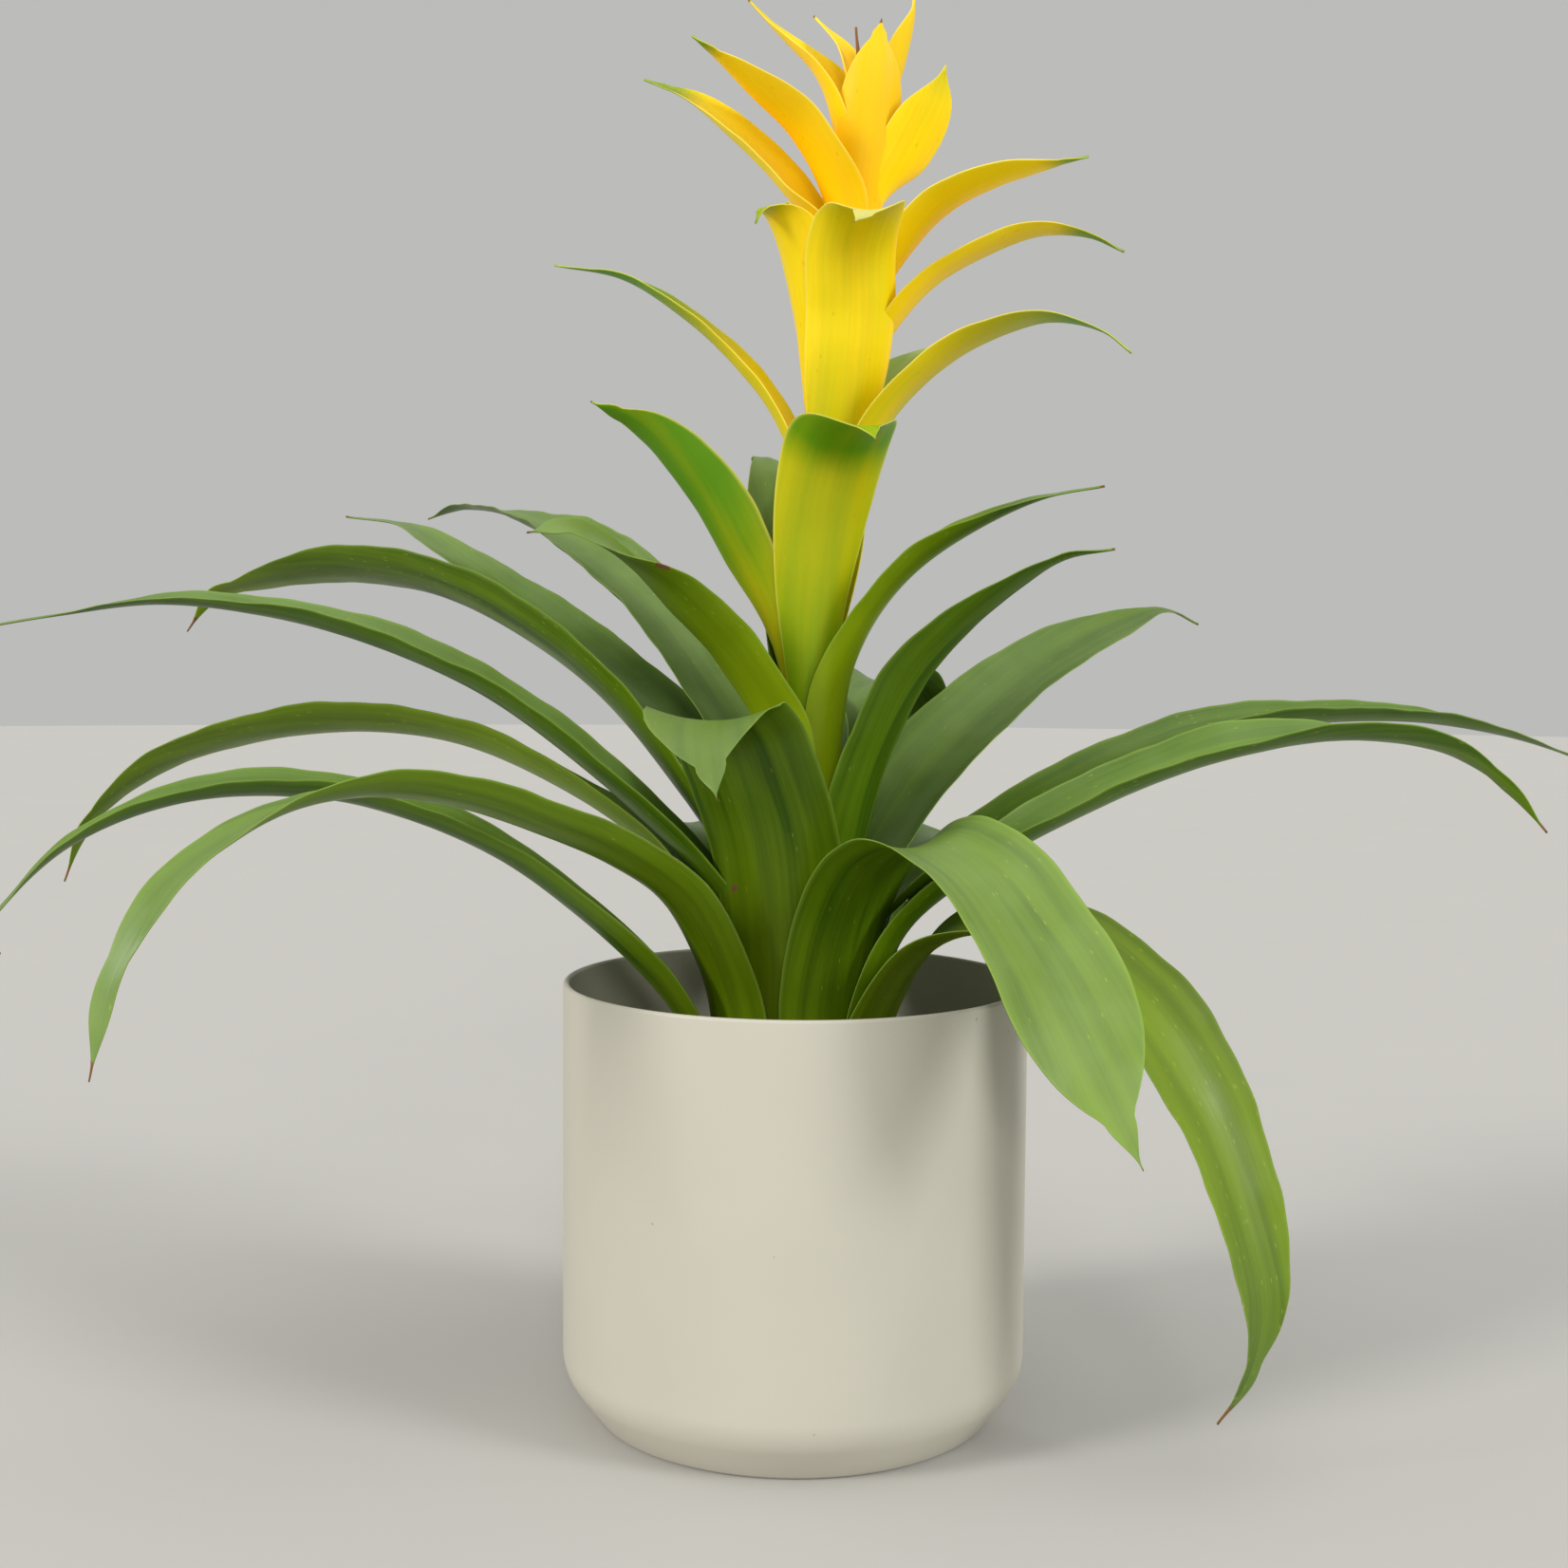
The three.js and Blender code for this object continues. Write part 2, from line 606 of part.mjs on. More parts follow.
function pottingMix() {
  const base = COVER_FLOOR + GROWER_LIFT;
  const floor = base + GROWER_WALL + MIX_GAP;
  const taper = (GROWER_MOUTH_RADIUS - GROWER_BASE_RADIUS) / GROWER_HEIGHT;
  const outerRadius = (height) => GROWER_BASE_RADIUS + taper * (height - base) - GROWER_WALL - MIX_GAP;
  const holeFloor = STEM_PROFILE[0][0] - STEM_HOLE_GAP;
  const hole = STEM_PROFILE
    .filter(([height]) => height <= MIX_TOP)
    .map(([height, radius]) => [radius + STEM_HOLE_GAP, height])
    .reverse();
  const edge = MIX_TOP - MIX_EDGE_DROP;
  return turned([
    [0, floor],
    [outerRadius(floor), floor],
    [outerRadius(edge), edge],
    [outerRadius(MIX_TOP) - 6, MIX_TOP],
    [stemRadius(MIX_TOP) + STEM_HOLE_GAP, MIX_TOP],
    ...hole,
    [hole.at(-1)[0], holeFloor],
    [0, holeFloor],
  ], GROWER_SEGMENTS);
}

function stem() {
  const [footHeight] = STEM_PROFILE[0];
  const [tipHeight] = STEM_PROFILE.at(-1);
  const profile = STEM_PROFILE.map(([height, radius]) => [radius, height]);
  return turned([[0, footHeight], ...profile, [0, tipHeight]], STEM_SEGMENTS, stemShift);
}

function named(name, geometry, surface) {
  const mesh = new THREE.Mesh(geometry, surface);
  mesh.name = name;
  return mesh;
}

function largestPiece(solid) {
  return solid.decompose().reduce((best, piece) => (piece.volume() > best.volume() ? piece : best));
}

function boxesMeet(first, second) {
  const a = first.boundingBox();
  const b = second.boundingBox();
  return [0, 1, 2].every((axis) => a.min[axis] < b.max[axis] && b.min[axis] < a.max[axis]);
}

// Where two blades would cross, the one that loses less is cut back to leave a clear gap
function clearedBlades(blades) {
  const shapes = blades.map(({ blade, spacing }) => ({
    name: blade.name,
    solid: solidFrom(bladeGeometry(blade, spacing)),
    grown: solidFrom(bladeGeometry(blade, spacing, TRIM_GAP)),
  }));
  for (let outer = 0; outer < shapes.length; outer += 1) {
    for (let inner = outer + 1; inner < shapes.length; inner += 1) {
      const first = shapes[outer];
      const second = shapes[inner];
      if (!boxesMeet(first.grown, second.grown) || first.solid.intersect(second.grown).volume() === 0) {
        continue;
      }
      const firstCut = largestPiece(first.solid.subtract(second.grown));
      const secondCut = largestPiece(second.solid.subtract(first.grown));
      const firstLoss = first.solid.volume() - firstCut.volume();
      const secondLoss = second.solid.volume() - secondCut.volume();
      if (firstLoss < secondLoss) {
        first.solid = firstCut;
      } else {
        second.solid = secondCut;
      }
    }
  }
  return shapes;
}

const part = new THREE.Group();
part.name = 'potted_guzmania';
part.add(named('cover_pot', coverPot(), PAINT));
part.add(named('grower_pot', growerPot(), BLACK_PLASTIC));
part.add(named('potting_mix', pottingMix(), MIX));
part.add(named('flower_stem', stem(), STEM_GREEN));
const blades = [
  ...LEAVES.map((blade) => ({ blade, spacing: LEAF_SPACING })),
  ...BRACTS.map((blade) => ({ blade, spacing: BRACT_SPACING })),
];
for (const { name, solid } of clearedBlades(blades)) {
  part.add(named(name, geometryFrom(solid), name.startsWith('leaf') ? GREEN : YELLOW));
}

export default part;
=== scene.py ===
"""A potted guzmania: arching strap leaves round a spike of yellow bracts, in a pale painted cover pot."""

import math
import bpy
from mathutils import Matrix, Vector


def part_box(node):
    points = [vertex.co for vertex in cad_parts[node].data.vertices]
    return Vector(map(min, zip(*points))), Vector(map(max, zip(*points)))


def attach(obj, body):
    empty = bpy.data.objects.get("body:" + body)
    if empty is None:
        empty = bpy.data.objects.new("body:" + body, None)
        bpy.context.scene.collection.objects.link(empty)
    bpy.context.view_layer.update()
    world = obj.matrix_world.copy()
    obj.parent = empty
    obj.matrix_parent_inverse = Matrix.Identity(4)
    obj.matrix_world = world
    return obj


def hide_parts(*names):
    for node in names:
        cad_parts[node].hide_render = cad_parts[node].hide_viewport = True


bl_info = {
    "name": "Potted guzmania",
    "version": (1, 0, 0),
    "blender": (4, 5, 0),
    "location": "View3D > Sidebar > Guzmania",
    "description": "Builds a potted guzmania with its pots, potting mix, stem, leaves and bracts",
    "category": "Add Mesh",
}

import bmesh
import bpy
import numpy as np
from mathutils import Matrix, Vector

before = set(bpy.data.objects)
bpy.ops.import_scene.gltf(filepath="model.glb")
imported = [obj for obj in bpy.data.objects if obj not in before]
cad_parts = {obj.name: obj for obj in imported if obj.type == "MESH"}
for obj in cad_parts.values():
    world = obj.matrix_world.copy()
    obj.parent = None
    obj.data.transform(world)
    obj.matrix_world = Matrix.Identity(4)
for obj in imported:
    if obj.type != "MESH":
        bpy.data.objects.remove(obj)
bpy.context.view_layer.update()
POT_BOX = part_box("cover_pot")
MM = 0.001

# The photograph: square, and this many pixels a side. The camera was fitted to the pot's rim and base.
PHOTO_PIXELS = 1652
FOCAL_PIXELS = 2140.0
SENSOR_MM = 36.0
CAMERA_PLACE_MM = (-4.15, -654.0, 246.7)
CAMERA_PITCH_DEG = 3.77
CAMERA_ROLL_DEG = 0.40

# A rounded corner takes at most this share of each side, and none under this radius in millimetres
ROUND_REACH = 0.45
LEAST_ROUND = 1e-4

# Cover pot, millimetres
COVER_CONE_HEIGHT = 15.0
COVER_BASE_RADIUS = 63.8
COVER_BEND = 17.0
COVER_FLOOR = 2.5
COVER_EDGE_BREAK = 0.8
COVER_EDGE_ROUND = 0.5
COVER_LIP_STEPS = 12
COVER_SEGMENTS = 192

# Grower's pot, millimetres
GROWER_RIM_RADIUS = 60.0
GROWER_MOUTH_RADIUS = 56.5
GROWER_BASE_RADIUS = 44.0
GROWER_HEIGHT = 102.0
GROWER_WALL = 1.2
GROWER_LIFT = 0.3
GROWER_BAND = 9.0
GROWER_ROUND = 0.6
GROWER_SEGMENTS = 144
GROWER_FOOT = COVER_FLOOR + GROWER_LIFT
GROWER_TAPER = (GROWER_MOUTH_RADIUS - GROWER_BASE_RADIUS) / GROWER_HEIGHT
DRAIN_HOLES = 6
DRAIN_RADIUS = 4.0
DRAIN_CIRCLE = 27.0
DRAIN_SEGMENTS = 32

# Potting mix, millimetres: its edge lies low, and its top rises to a slight dome round the stem's hole
MIX_TOP = 96.5
MIX_GAP = 0.3
MIX_EDGE_RADIUS_AT = 1.5
MIX_EDGE_DROP = 3
MIX_DOME = 1.9
MIX_DOME_REACH = 0.82
MIX_DOME_STEPS = 12
MIX_HOLE_DROP = 1
MIX_HOLE_FLOOR = 0.4
MIX_SEGMENTS = 96
CHIP_KINDS = 4
CHIP_WIDTH = 0.62
CHIP_DEPTH = 0.36
CHIP_UNEVEN = (0.72, 1.12)
CHIP_TILT = 0.5
CHIP_SMALLEST = 0.35
CHIP_LARGEST = 1.0
CHIPS_ON_FACES_UP = 0.5
CHIPS_OVER = 90.0

# Stem: [height, radius] in millimetres, from the foot in the mix to the tip inside the last bracts
STEM_PROFILE = [
    [72, 9], [84, 12], [97, 12.5], [108, 11.5], [125, 8.5], [150, 6.4],
    [220, 5.6], [300, 5], [360, 4.2], [405, 2.6], [418, 1.4],
]
STEM_LEAN = 24.0
STEM_LEAN_FROM = 140.0
STEM_LEAN_TO = 449.0
STEM_LEAN_POWER = 1.3
STEM_ROWS = 150
STEM_SMOOTHING = 5
STEM_TIP = 0.6
STEM_SEGMENTS = 48

# Blades, millimetres and shares of a blade's length
TIP_WIDTH = 1.4
OPENING_START = 2.0
OPENING_END = 26.0
FREE_START = 4.0
FREE_END = 24.0
USUAL_CLASP = 1.1
USUAL_WIDEN = 0.4
USUAL_TAPER = 0.46
TAPER_END = 0.95
USUAL_FULLNESS = 3.0
DRIP_SHARE = 0.2
DRIP_LENGTH = 0.07
ROLL_START = 0.1
ROLL_END = 0.5
TWIST_START = 0.6
POINT_LENGTH = 5
POINT_SHARE = 0.3
LEAST_ROWS = 20
THINNING_POWER = 3

# Dried tips and scars: full brown needs a dried length of 2 mm, and a scar fades from its core to its edge
DRY_FADE = 1.5
DRY_FULL_LENGTH = 2
SCAR_CORE = 0.5
SCAR_EDGE = 1.3

# A blade's map is in tenths of a metre, and each blade reads its own place in the patterns and its own tint
MAP_UNIT = 100
MAP_SHIFT = 40
TINT_SPREAD = 0.04

# Waves along a margin: wavelength in millimetres and share of the ripple
MARGIN_WAVES = ((70, 0.55), (31, 0.3), (13, 0.12))
WAVE_NARROWING = 1.6
WAVE_START = 0.18
WAVE_END = 0.5

# Columns of points across a blade, the first seed, and how much light scatters inside the tissue
LEAF_MAKE = {"columns": 21, "seed": 100, "soft": 0.12}
BRACT_MAKE = {"columns": 19, "seed": 300, "soft": 0.2}

# Share of the painted highlight at a blade's margin, and how far red, green and blue scatter in green
# tissue
EDGE_HIGHLIGHT_SHARE = 0.35
LEAF_SCATTER = (0.5, 1.0, 0.15)

# The round floor, in straight sides
FLOOR_SEGMENTS = 96

# Lamps: name, direction towards the lamp, degrees of softness and colour. StageSizes holds each strength.
LAMPS = (
    ("key", (-1.0, -0.55, 0.5), 16, (1.0, 0.98, 0.95)),
    ("fill", (1.0, -0.55, 0.5), 18, (0.98, 0.99, 1.0)),
    ("front", (0.1, -1.0, 0.4), 12, (1.0, 1.0, 1.0)),
    ("top", (0.0, -0.15, 1.0), 50, (1.0, 1.0, 1.0)),
)


def blade_row(name, azimuth, width, channel, **shape):
    """One row of the tables below: turn round the stem in degrees, width in millimetres, channel in degrees
    of arc, and a path of (reach from the stem, height, sideways) in millimetres. Beside these, roll and
    twist turn it about its own middle line in degrees, clasp is its width at the foot, widen is where it
    reaches its full width, taper where it starts to narrow, and fullness how round it narrows."""
    return {"name": name, "azimuth": azimuth, "width": width, "channel": channel, **shape}


LEAVES = [
    blade_row("leaf_01", 193, 31, 105, roll=-4, path=[
        (26, 99), (28, 108), (35, 123), (49, 142), (73, 164.5), (97, 182), (126, 195), (152, 201),
        (190, 200), (223, 187), (244, 167), (250, 157), (243, 155)]),
    blade_row("leaf_02", 332, 35, 70, roll=28, path=[
        (26, 99), (28, 112), (34, 132), (48, 153), (70, 162), (94, 157), (116, 141), (135, 115), (148, 84),
        (155, 56), (151, 34), (142, 19)]),
    blade_row("leaf_04", 76, 34, 90, path=[
        (26, 99), (28, 110), (34, 128), (50, 148), (82, 166), (120, 168), (152, 152), (174, 126)]),
    blade_row("leaf_03", 214, 33, 95, roll=14, twist=-60, taper=0.12, path=[
        (24.3, 99), (25.5, 112), (30, 140), (46, 167), (66, 181), (91, 192), (117, 201), (146, 205),
        (174, 200), (203, 183), (219, 159), (225, 132)]),
    blade_row("leaf_07", 14, 34, 105, roll=4, path=[
        (19.2, 99), (19.4, 122), (21, 142), (29, 160), (60, 180), (98, 201.5), (138, 217), (180, 223),
        (222, 223.5), (262, 217.5), (290, 209), (306, 201)]),
    blade_row("leaf_08", 112, 34, 90, path=[
        (24.3, 99), (25.5, 112), (29, 135), (38, 155), (58, 172), (88, 182), (116, 180), (138, 166)]),
    blade_row("leaf_05", 308, 46, 60, roll=6, twist=24, clasp=0.9, taper=0.62, fullness=3.5, path=[
        (22.6, 99), (23, 118), (25, 140), (31, 163), (44, 181), (62, 188), (82, 182, 2), (102, 164, 4),
        (120, 142, 5), (134, 123, 5), (147, 107, 4)]),
    blade_row("leaf_06", 168, 34, 90, roll=14, path=[
        (22.6, 99), (23, 118), (26, 142), (34, 163), (50, 182), (78, 200), (115, 215), (150, 219),
        (195, 214), (228, 203), (253, 184), (262, 164)]),
    blade_row("leaf_12", 52, 34, 90, path=[
        (22.6, 99), (23, 118), (26, 138), (34, 156), (50, 170), (78, 180), (110, 172), (132, 150),
        (145, 122)]),
    blade_row("leaf_09", 252, 46, 50, taper=0.78, fullness=1.3, path=[
        (20.9, 99), (21.2, 125), (24.5, 158), (33, 188, -1), (43, 208, -2.5), (51, 220, -5),
        (60, 225.5, -7.5), (70, 221, -5), (78, 213, -1), (84, 204, 3)]),
    blade_row("leaf_10", 347, 35, 100, roll=14, twist=-50, path=[
        (24.3, 99), (25.3, 114), (28, 136), (36, 157), (59, 177), (94, 198), (135, 215), (175, 221),
        (204, 217), (219, 206), (229, 194)]),
    blade_row("leaf_14", 96, 34, 90, path=[
        (20.9, 99), (21.2, 120), (23.5, 145), (30, 168), (46, 187), (80, 200), (120, 200), (155, 181),
        (180, 150)]),
    blade_row("leaf_11", 184, 32, 105, roll=-6, path=[
        (19.2, 99), (19.3, 130), (20.8, 150), (26, 167), (43, 186), (66, 207), (100, 232), (133, 247),
        (165, 256), (200, 260), (233, 256), (256, 252)]),
    blade_row("leaf_15", 30, 40, 80, roll=16, clasp=0.85, path=[
        (17.5, 99), (17.6, 130), (19, 152), (27, 175), (48, 202), (68, 220), (94, 238), (128, 255),
        (152, 262), (168, 257)]),
    blade_row("leaf_13", 158, 42, 90, roll=22, path=[
        (17.5, 99), (17.6, 130), (19, 155), (26, 178), (43, 202), (72, 232), (104, 253), (138, 267),
        (175, 272), (211, 269), (228, 265), (240, 252)]),
    blade_row("leaf_17", 335, 33, 90, roll=-8, path=[
        (15.8, 99), (15.8, 130), (16.2, 160), (19.5, 190), (28, 217), (45, 242), (68, 263), (88, 275),
        (104, 277.5)]),
    blade_row("leaf_16", 142, 30, 90, roll=-6, path=[
        (15.8, 99), (15.8, 135), (17, 165), (27, 191), (48, 215), (78, 236), (116, 257), (158, 279),
        (186, 292), (221, 297)]),
    blade_row("leaf_18", 56, 44, 80, clasp=0.7, path=[
        (14.1, 99), (14.1, 135), (14.4, 160), (17, 188), (26, 214), (42, 231), (60, 235), (74, 226),
        (84, 207), (88, 190)]),
    blade_row("leaf_19", 132, 34, 105, roll=-12, twist=24, path=[
        (12.5, 112), (12.4, 145), (13, 172), (18, 197), (35, 224), (58, 246), (88, 268), (124, 285),
        (162, 297), (200, 301), (220, 298)]),
    blade_row("leaf_20", 210, 34, 100, roll=4, twist=-50, clasp=0.9, path=[
        (11.6, 172), (12, 195), (15.5, 219), (27, 240), (44, 258), (61, 272), (80, 283), (95, 281)]),
    blade_row("leaf_21", 340, 32, 100, roll=10, clasp=0.95, path=[
        (10, 174), (10, 200), (10.4, 222), (12.5, 241), (21.5, 258), (38, 272), (57, 284.5), (79, 294),
        (97, 297)]),
    blade_row("leaf_22", 108, 30, 90, clasp=0.7, path=[
        (8.5, 182), (9.6, 207), (13, 234), (20, 262), (29, 290), (38, 307), (48, 312), (56, 306)]),
    blade_row("leaf_23", 84, 26, 90, clasp=0.6, path=[
        (11.2, 162), (11.4, 186), (14.5, 204), (22, 218), (34, 228), (46, 230), (56, 222)]),
]

BRACTS = [
    blade_row("bract_01", 278, 38, 100, clasp=0.3, widen=0.85, taper=0.7, path=[
        (7, 204), (8.5, 224, -1), (12, 242, -3), (17, 262, -4), (25, 287, -0.5), (36, 304, 3.5),
        (50, 311, 6), (62, 311, 8), (69, 307, 9)]),
    blade_row("bract_02", 176, 42, 85, roll=28, clasp=0.5, widen=0.6, path=[
        (6.8, 214), (9, 233), (16.5, 255), (27, 279), (39, 300), (54, 317), (71, 326)]),
    blade_row("bract_03", 80, 27, 90, clasp=0.5, path=[
        (6.6, 230), (7.8, 250), (13, 276), (22, 296), (35, 305), (47, 300)]),
    blade_row("bract_04", 110, 20, 90, clasp=0.4, path=[
        (6.3, 262), (7.2, 280), (9.5, 302), (15, 316), (23, 321), (30, 317)]),
    blade_row("bract_05", 170, 25, 75, roll=-4, clasp=0.6, path=[
        (6.1, 270), (8.3, 287), (12, 304.5), (19, 322), (30, 339), (45.5, 353), (66, 366), (89, 371)]),
    blade_row("bract_06", 46, 27, 90, clasp=0.6, path=[
        (6.1, 276), (8.8, 292), (13, 307), (21, 321), (32, 335), (43, 345), (53, 349)]),
    blade_row("bract_07", 340, 27, 50, clasp=0.65, path=[
        (6.1, 283), (8.5, 299), (13, 311), (22, 323), (35, 334), (51, 343), (70, 348), (88, 344),
        (97, 337)]),
    blade_row("bract_08", 285, 33, 110, clasp=0.6, taper=0.6, path=[
        (6, 290), (9.5, 307), (13.5, 325), (17, 340), (19.5, 353), (26, 367), (37, 375), (51, 375, -4),
        (59, 370, -10)]),
    blade_row("bract_09", 100, 26, 90, clasp=0.6, path=[
        (6, 297), (8, 316), (13, 338), (22, 354), (34, 360), (45, 355)]),
    blade_row("bract_10", 222, 25, 100, clasp=0.6, taper=0.7, path=[
        (5.9, 303), (9, 317), (12.5, 335), (16, 353), (20, 369), (25, 380), (30, 382), (33, 377)]),
    blade_row("bract_11", 352, 27, 70, roll=2, clasp=0.5, path=[
        (5.7, 316), (7.5, 332), (15, 346.5), (31, 362), (49, 372), (64, 377), (79, 376), (90, 371)]),
    blade_row("bract_12", 75, 24, 90, clasp=0.5, path=[
        (5.6, 324), (7.6, 341), (12.5, 361), (21, 375), (32, 382), (42, 378)]),
    blade_row("bract_13", 125, 24, 90, clasp=0.6, path=[
        (5.5, 330), (7, 348), (11, 370), (18, 385), (27, 392), (34, 389)]),
    blade_row("bract_14", 335, 27, 55, clasp=0.6, path=[
        (5.4, 337), (8.5, 354), (18, 370), (33, 383), (50, 390), (66, 393.5), (80, 395)]),
    blade_row("bract_15", 190, 30, 80, roll=-30, clasp=0.6, path=[
        (5.3, 343), (7, 360), (13, 378), (23, 394), (37, 408), (50, 418), (64, 423)]),
    blade_row("bract_16", 96, 20, 90, clasp=0.45, path=[
        (5.2, 349), (7, 368), (11, 388), (18, 402), (28, 408)]),
    blade_row("bract_17", 208, 30, 100, roll=-8, clasp=0.6, path=[
        (5.1, 355), (7.2, 372), (11.3, 389), (20.5, 406), (34, 418), (46, 427), (55, 432)]),
    blade_row("bract_18", 52, 20, 90, clasp=0.5, path=[
        (5, 362), (6.6, 381), (10, 399), (16, 411), (24, 415)]),
    blade_row("bract_19", 168, 29, 85, roll=-12, clasp=0.45, path=[
        (4.9, 367), (6.2, 390), (9.2, 410), (15, 427), (24, 441), (34, 453)]),
    blade_row("bract_20", 338, 22, 70, roll=-36, clasp=0.5, path=[
        (4.5, 378), (8, 389), (15, 400), (21, 409), (26.5, 418), (29.5, 428)]),
    blade_row("bract_21", 277, 24, 115, clasp=0.5, path=[
        (4.8, 369), (7.5, 387), (10.5, 404), (12.5, 420), (12.5, 431), (11, 442)]),
    blade_row("bract_22", 140, 14, 90, clasp=0.6, path=[
        (3.9, 389), (4.6, 407), (6.8, 424), (12, 438), (21, 450)]),
    blade_row("bract_23", 350, 22, 115, clasp=0.5, path=[
        (3.6, 398), (5, 410), (8.5, 424), (11, 437), (11.8, 446), (11.2, 452)]),
    blade_row("bract_24", 170, 5, 60, clasp=1, path=[
        (3.5, 407), (4.2, 421), (5, 433), (6.6, 443)]),
]


def linear(code):
    """Colours are sRGB hex values, and are turned to linear here and nowhere else."""
    channels = [int(code[start:start + 2], 16) / 255 for start in (1, 3, 5)]
    return [c / 12.92 if c <= 0.04045 else ((c + 0.055) / 1.055) ** 2.4 for c in channels]


def smooth(value, low, high):
    share = np.clip((np.asarray(value, float) - low) / (high - low), 0, 1)
    return share * share * (3 - 2 * share)


def length_property(name, description, default):
    return bpy.props.FloatProperty(name=name, description=description, default=default, unit="LENGTH")


def amount_property(name, description, default):
    return bpy.props.FloatProperty(name=name, description=description, default=default, min=0.0)


def colour_property(name, description, code):
    return bpy.props.FloatVectorProperty(
        name=name, description=description, subtype="COLOR", default=linear(code))


class PotSizes(bpy.types.PropertyGroup):
    radius: length_property("Cover radius", "Outside radius of the cover pot's straight wall", POT_BOX[1].x)
    height: length_property("Cover height", "Height of the cover pot's lip over the table", POT_BOX[1].z)
    wall: length_property("Cover wall", "Thickness of the cover pot's painted wall", 2.0 * MM)
    paint: colour_property("Paint", "Stone-white satin-matt paint", "#BFBBAC")
    plastic: colour_property("Grower's plastic", "Black plastic of the inner pot", "#1C1B1A")


class MixSizes(bpy.types.PropertyGroup):
    chips: amount_property("Chips", "Chips of bark per square metre of mix", 36000.0)
    chip_length: length_property("Chip length", "Length of the usual chip of bark", 6.0 * MM)
    seed: bpy.props.IntProperty(name="Seed", description="Seed of the scatter", default=7)
    peat: colour_property("Peat", "Damp peat between the chips", "#2E2118")
    bark: colour_property("Bark", "Dry face of a bark chip", "#6B4A31")


class BladeSizes(bpy.types.PropertyGroup):
    thickness: length_property("Middle thickness", "Thickness of a blade along its middle", 0.8 * MM)
    margin: length_property("Margin thickness", "Thickness of a blade at its margins", 0.32 * MM)
    ripple: length_property("Ripple", "How far the margins of a leaf wave in and out", 0.8 * MM)
    row: length_property("Row spacing", "Distance between rows of points along a blade", 2.2 * MM)
    leaf_deep: colour_property("Deep leaf green", "Shaded tissue between the veins", "#2A4600")
    leaf_light: colour_property("Light leaf green", "Lighter tissue of a leaf", "#557A06")
    leaf_ripe: colour_property("Yellowed leaf", "Yellow green near the foot of a leaf", "#96AC0A")
    # Pale waxy bloom with a painted sheen, laid on the inner face of the leaves
    bloom: colour_property("Bloom", "Pale waxy bloom on the inner face", "#8CA563")
    bract_yellow: colour_property("Bract yellow", "Clear yellow of a bract", "#FFE610")
    bract_gold: colour_property("Bract gold", "Deeper golden yellow between the veins", "#FAD304")
    bract_green: colour_property(
        "Bract green", "Green of a bract's tip and of the lowest bracts", "#62980A")
    dry: colour_property("Dry tip", "Brown of a dried tip or scar", "#7C5632")


class StageSizes(bpy.types.PropertyGroup):
    floor: length_property("Floor", "Radius of the pale floor", 6.0)
    floor_colour: colour_property("Floor colour", "Pale warm grey of the floor", "#BEBCB7")
    key: amount_property("Key light", "Strength of the soft light from the left", 1.8)
    fill: amount_property("Fill light", "Strength of the soft light from the right", 1.4)
    front: amount_property("Front light", "Strength of the light from beside the camera", 0.6)
    top: amount_property("Top light", "Strength of the broad light from above", 0.7)
    sky: amount_property("Surround", "Strength of the even light from all round", 0.6)


def node(tree, kind, inputs=None, **settings):
    """Adds one node, sets its properties, and sets or links its inputs by name or number. A node given as
    an input stands for its first output, and a colour gets an alpha of 1."""
    item = tree.nodes.new(kind)
    for key, value in settings.items():
        setattr(item, key, value)
    for key, value in (inputs or {}).items():
        socket = item.inputs[key]
        if isinstance(value, bpy.types.Node):
            value = value.outputs[0]
        if isinstance(value, bpy.types.NodeSocket):
            tree.links.new(value, socket)
        elif socket.type == "RGBA":
            socket.default_value = [*value, 1.0]
        else:
            socket.default_value = value
    return item


def new_material(name):
    material = bpy.data.materials.new(name)
    material.use_nodes = True
    material.node_tree.nodes.clear()
    return material, material.node_tree


def finish_material(tree, inputs):
    surface = node(tree, "ShaderNodeBsdfPrincipled", inputs)
    node(tree, "ShaderNodeOutputMaterial", {"Surface": surface})


def mesh_object(name, mesh, material=None):
    piece = bpy.data.objects.new(name, mesh)
    bpy.context.scene.collection.objects.link(piece)
    if material is not None:
        mesh.materials.append(material)
    return piece


def settle(piece, slot, *nodes):
    """Puts a finished piece on the one body, in place of its CAD nodes; the material slot it is given is
    not used.
    """
    for face in piece.data.polygons:
        face.use_smooth = True
    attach(piece, "root")
    if nodes:
        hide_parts(*nodes)


def stem_shift(height):
    """How far the stem's axis stands to the right of the pot's axis at a height, in millimetres."""
    rise = np.maximum(0, np.asarray(height, float) - STEM_LEAN_FROM) / (STEM_LEAN_TO - STEM_LEAN_FROM)
    return STEM_LEAN * rise ** STEM_LEAN_POWER


def turned(name, profile, segments, shift=None):
    """A closed solid of revolution from (radius, height) points in millimetres, from the lower pole
    outwards and round to the upper pole."""
    vertices = []
    rings = []
    for radius, height in profile:
        offset = float(shift(height)) if shift else 0.0
        if radius == 0:
            rings.append([len(vertices)] * segments)
            vertices.append((offset, 0, height))
            continue
        rings.append(list(range(len(vertices), len(vertices) + segments)))
        for step in range(segments):
            turn = 2 * math.pi * step / segments
            vertices.append((offset + radius * math.cos(turn), radius * math.sin(turn), height))
    faces = []
    for lower, upper in zip(rings, rings[1:]):
        for step in range(segments):
            after = (step + 1) % segments
            corners = [lower[step], lower[after], upper[after], upper[step]]
            corners = list(dict.fromkeys(corners))
            if len(corners) > 2:
                faces.append(corners)
    mesh = bpy.data.meshes.new(name)
    mesh.from_pydata([[c * MM for c in v] for v in vertices], [], faces)
    mesh.update()
    return mesh


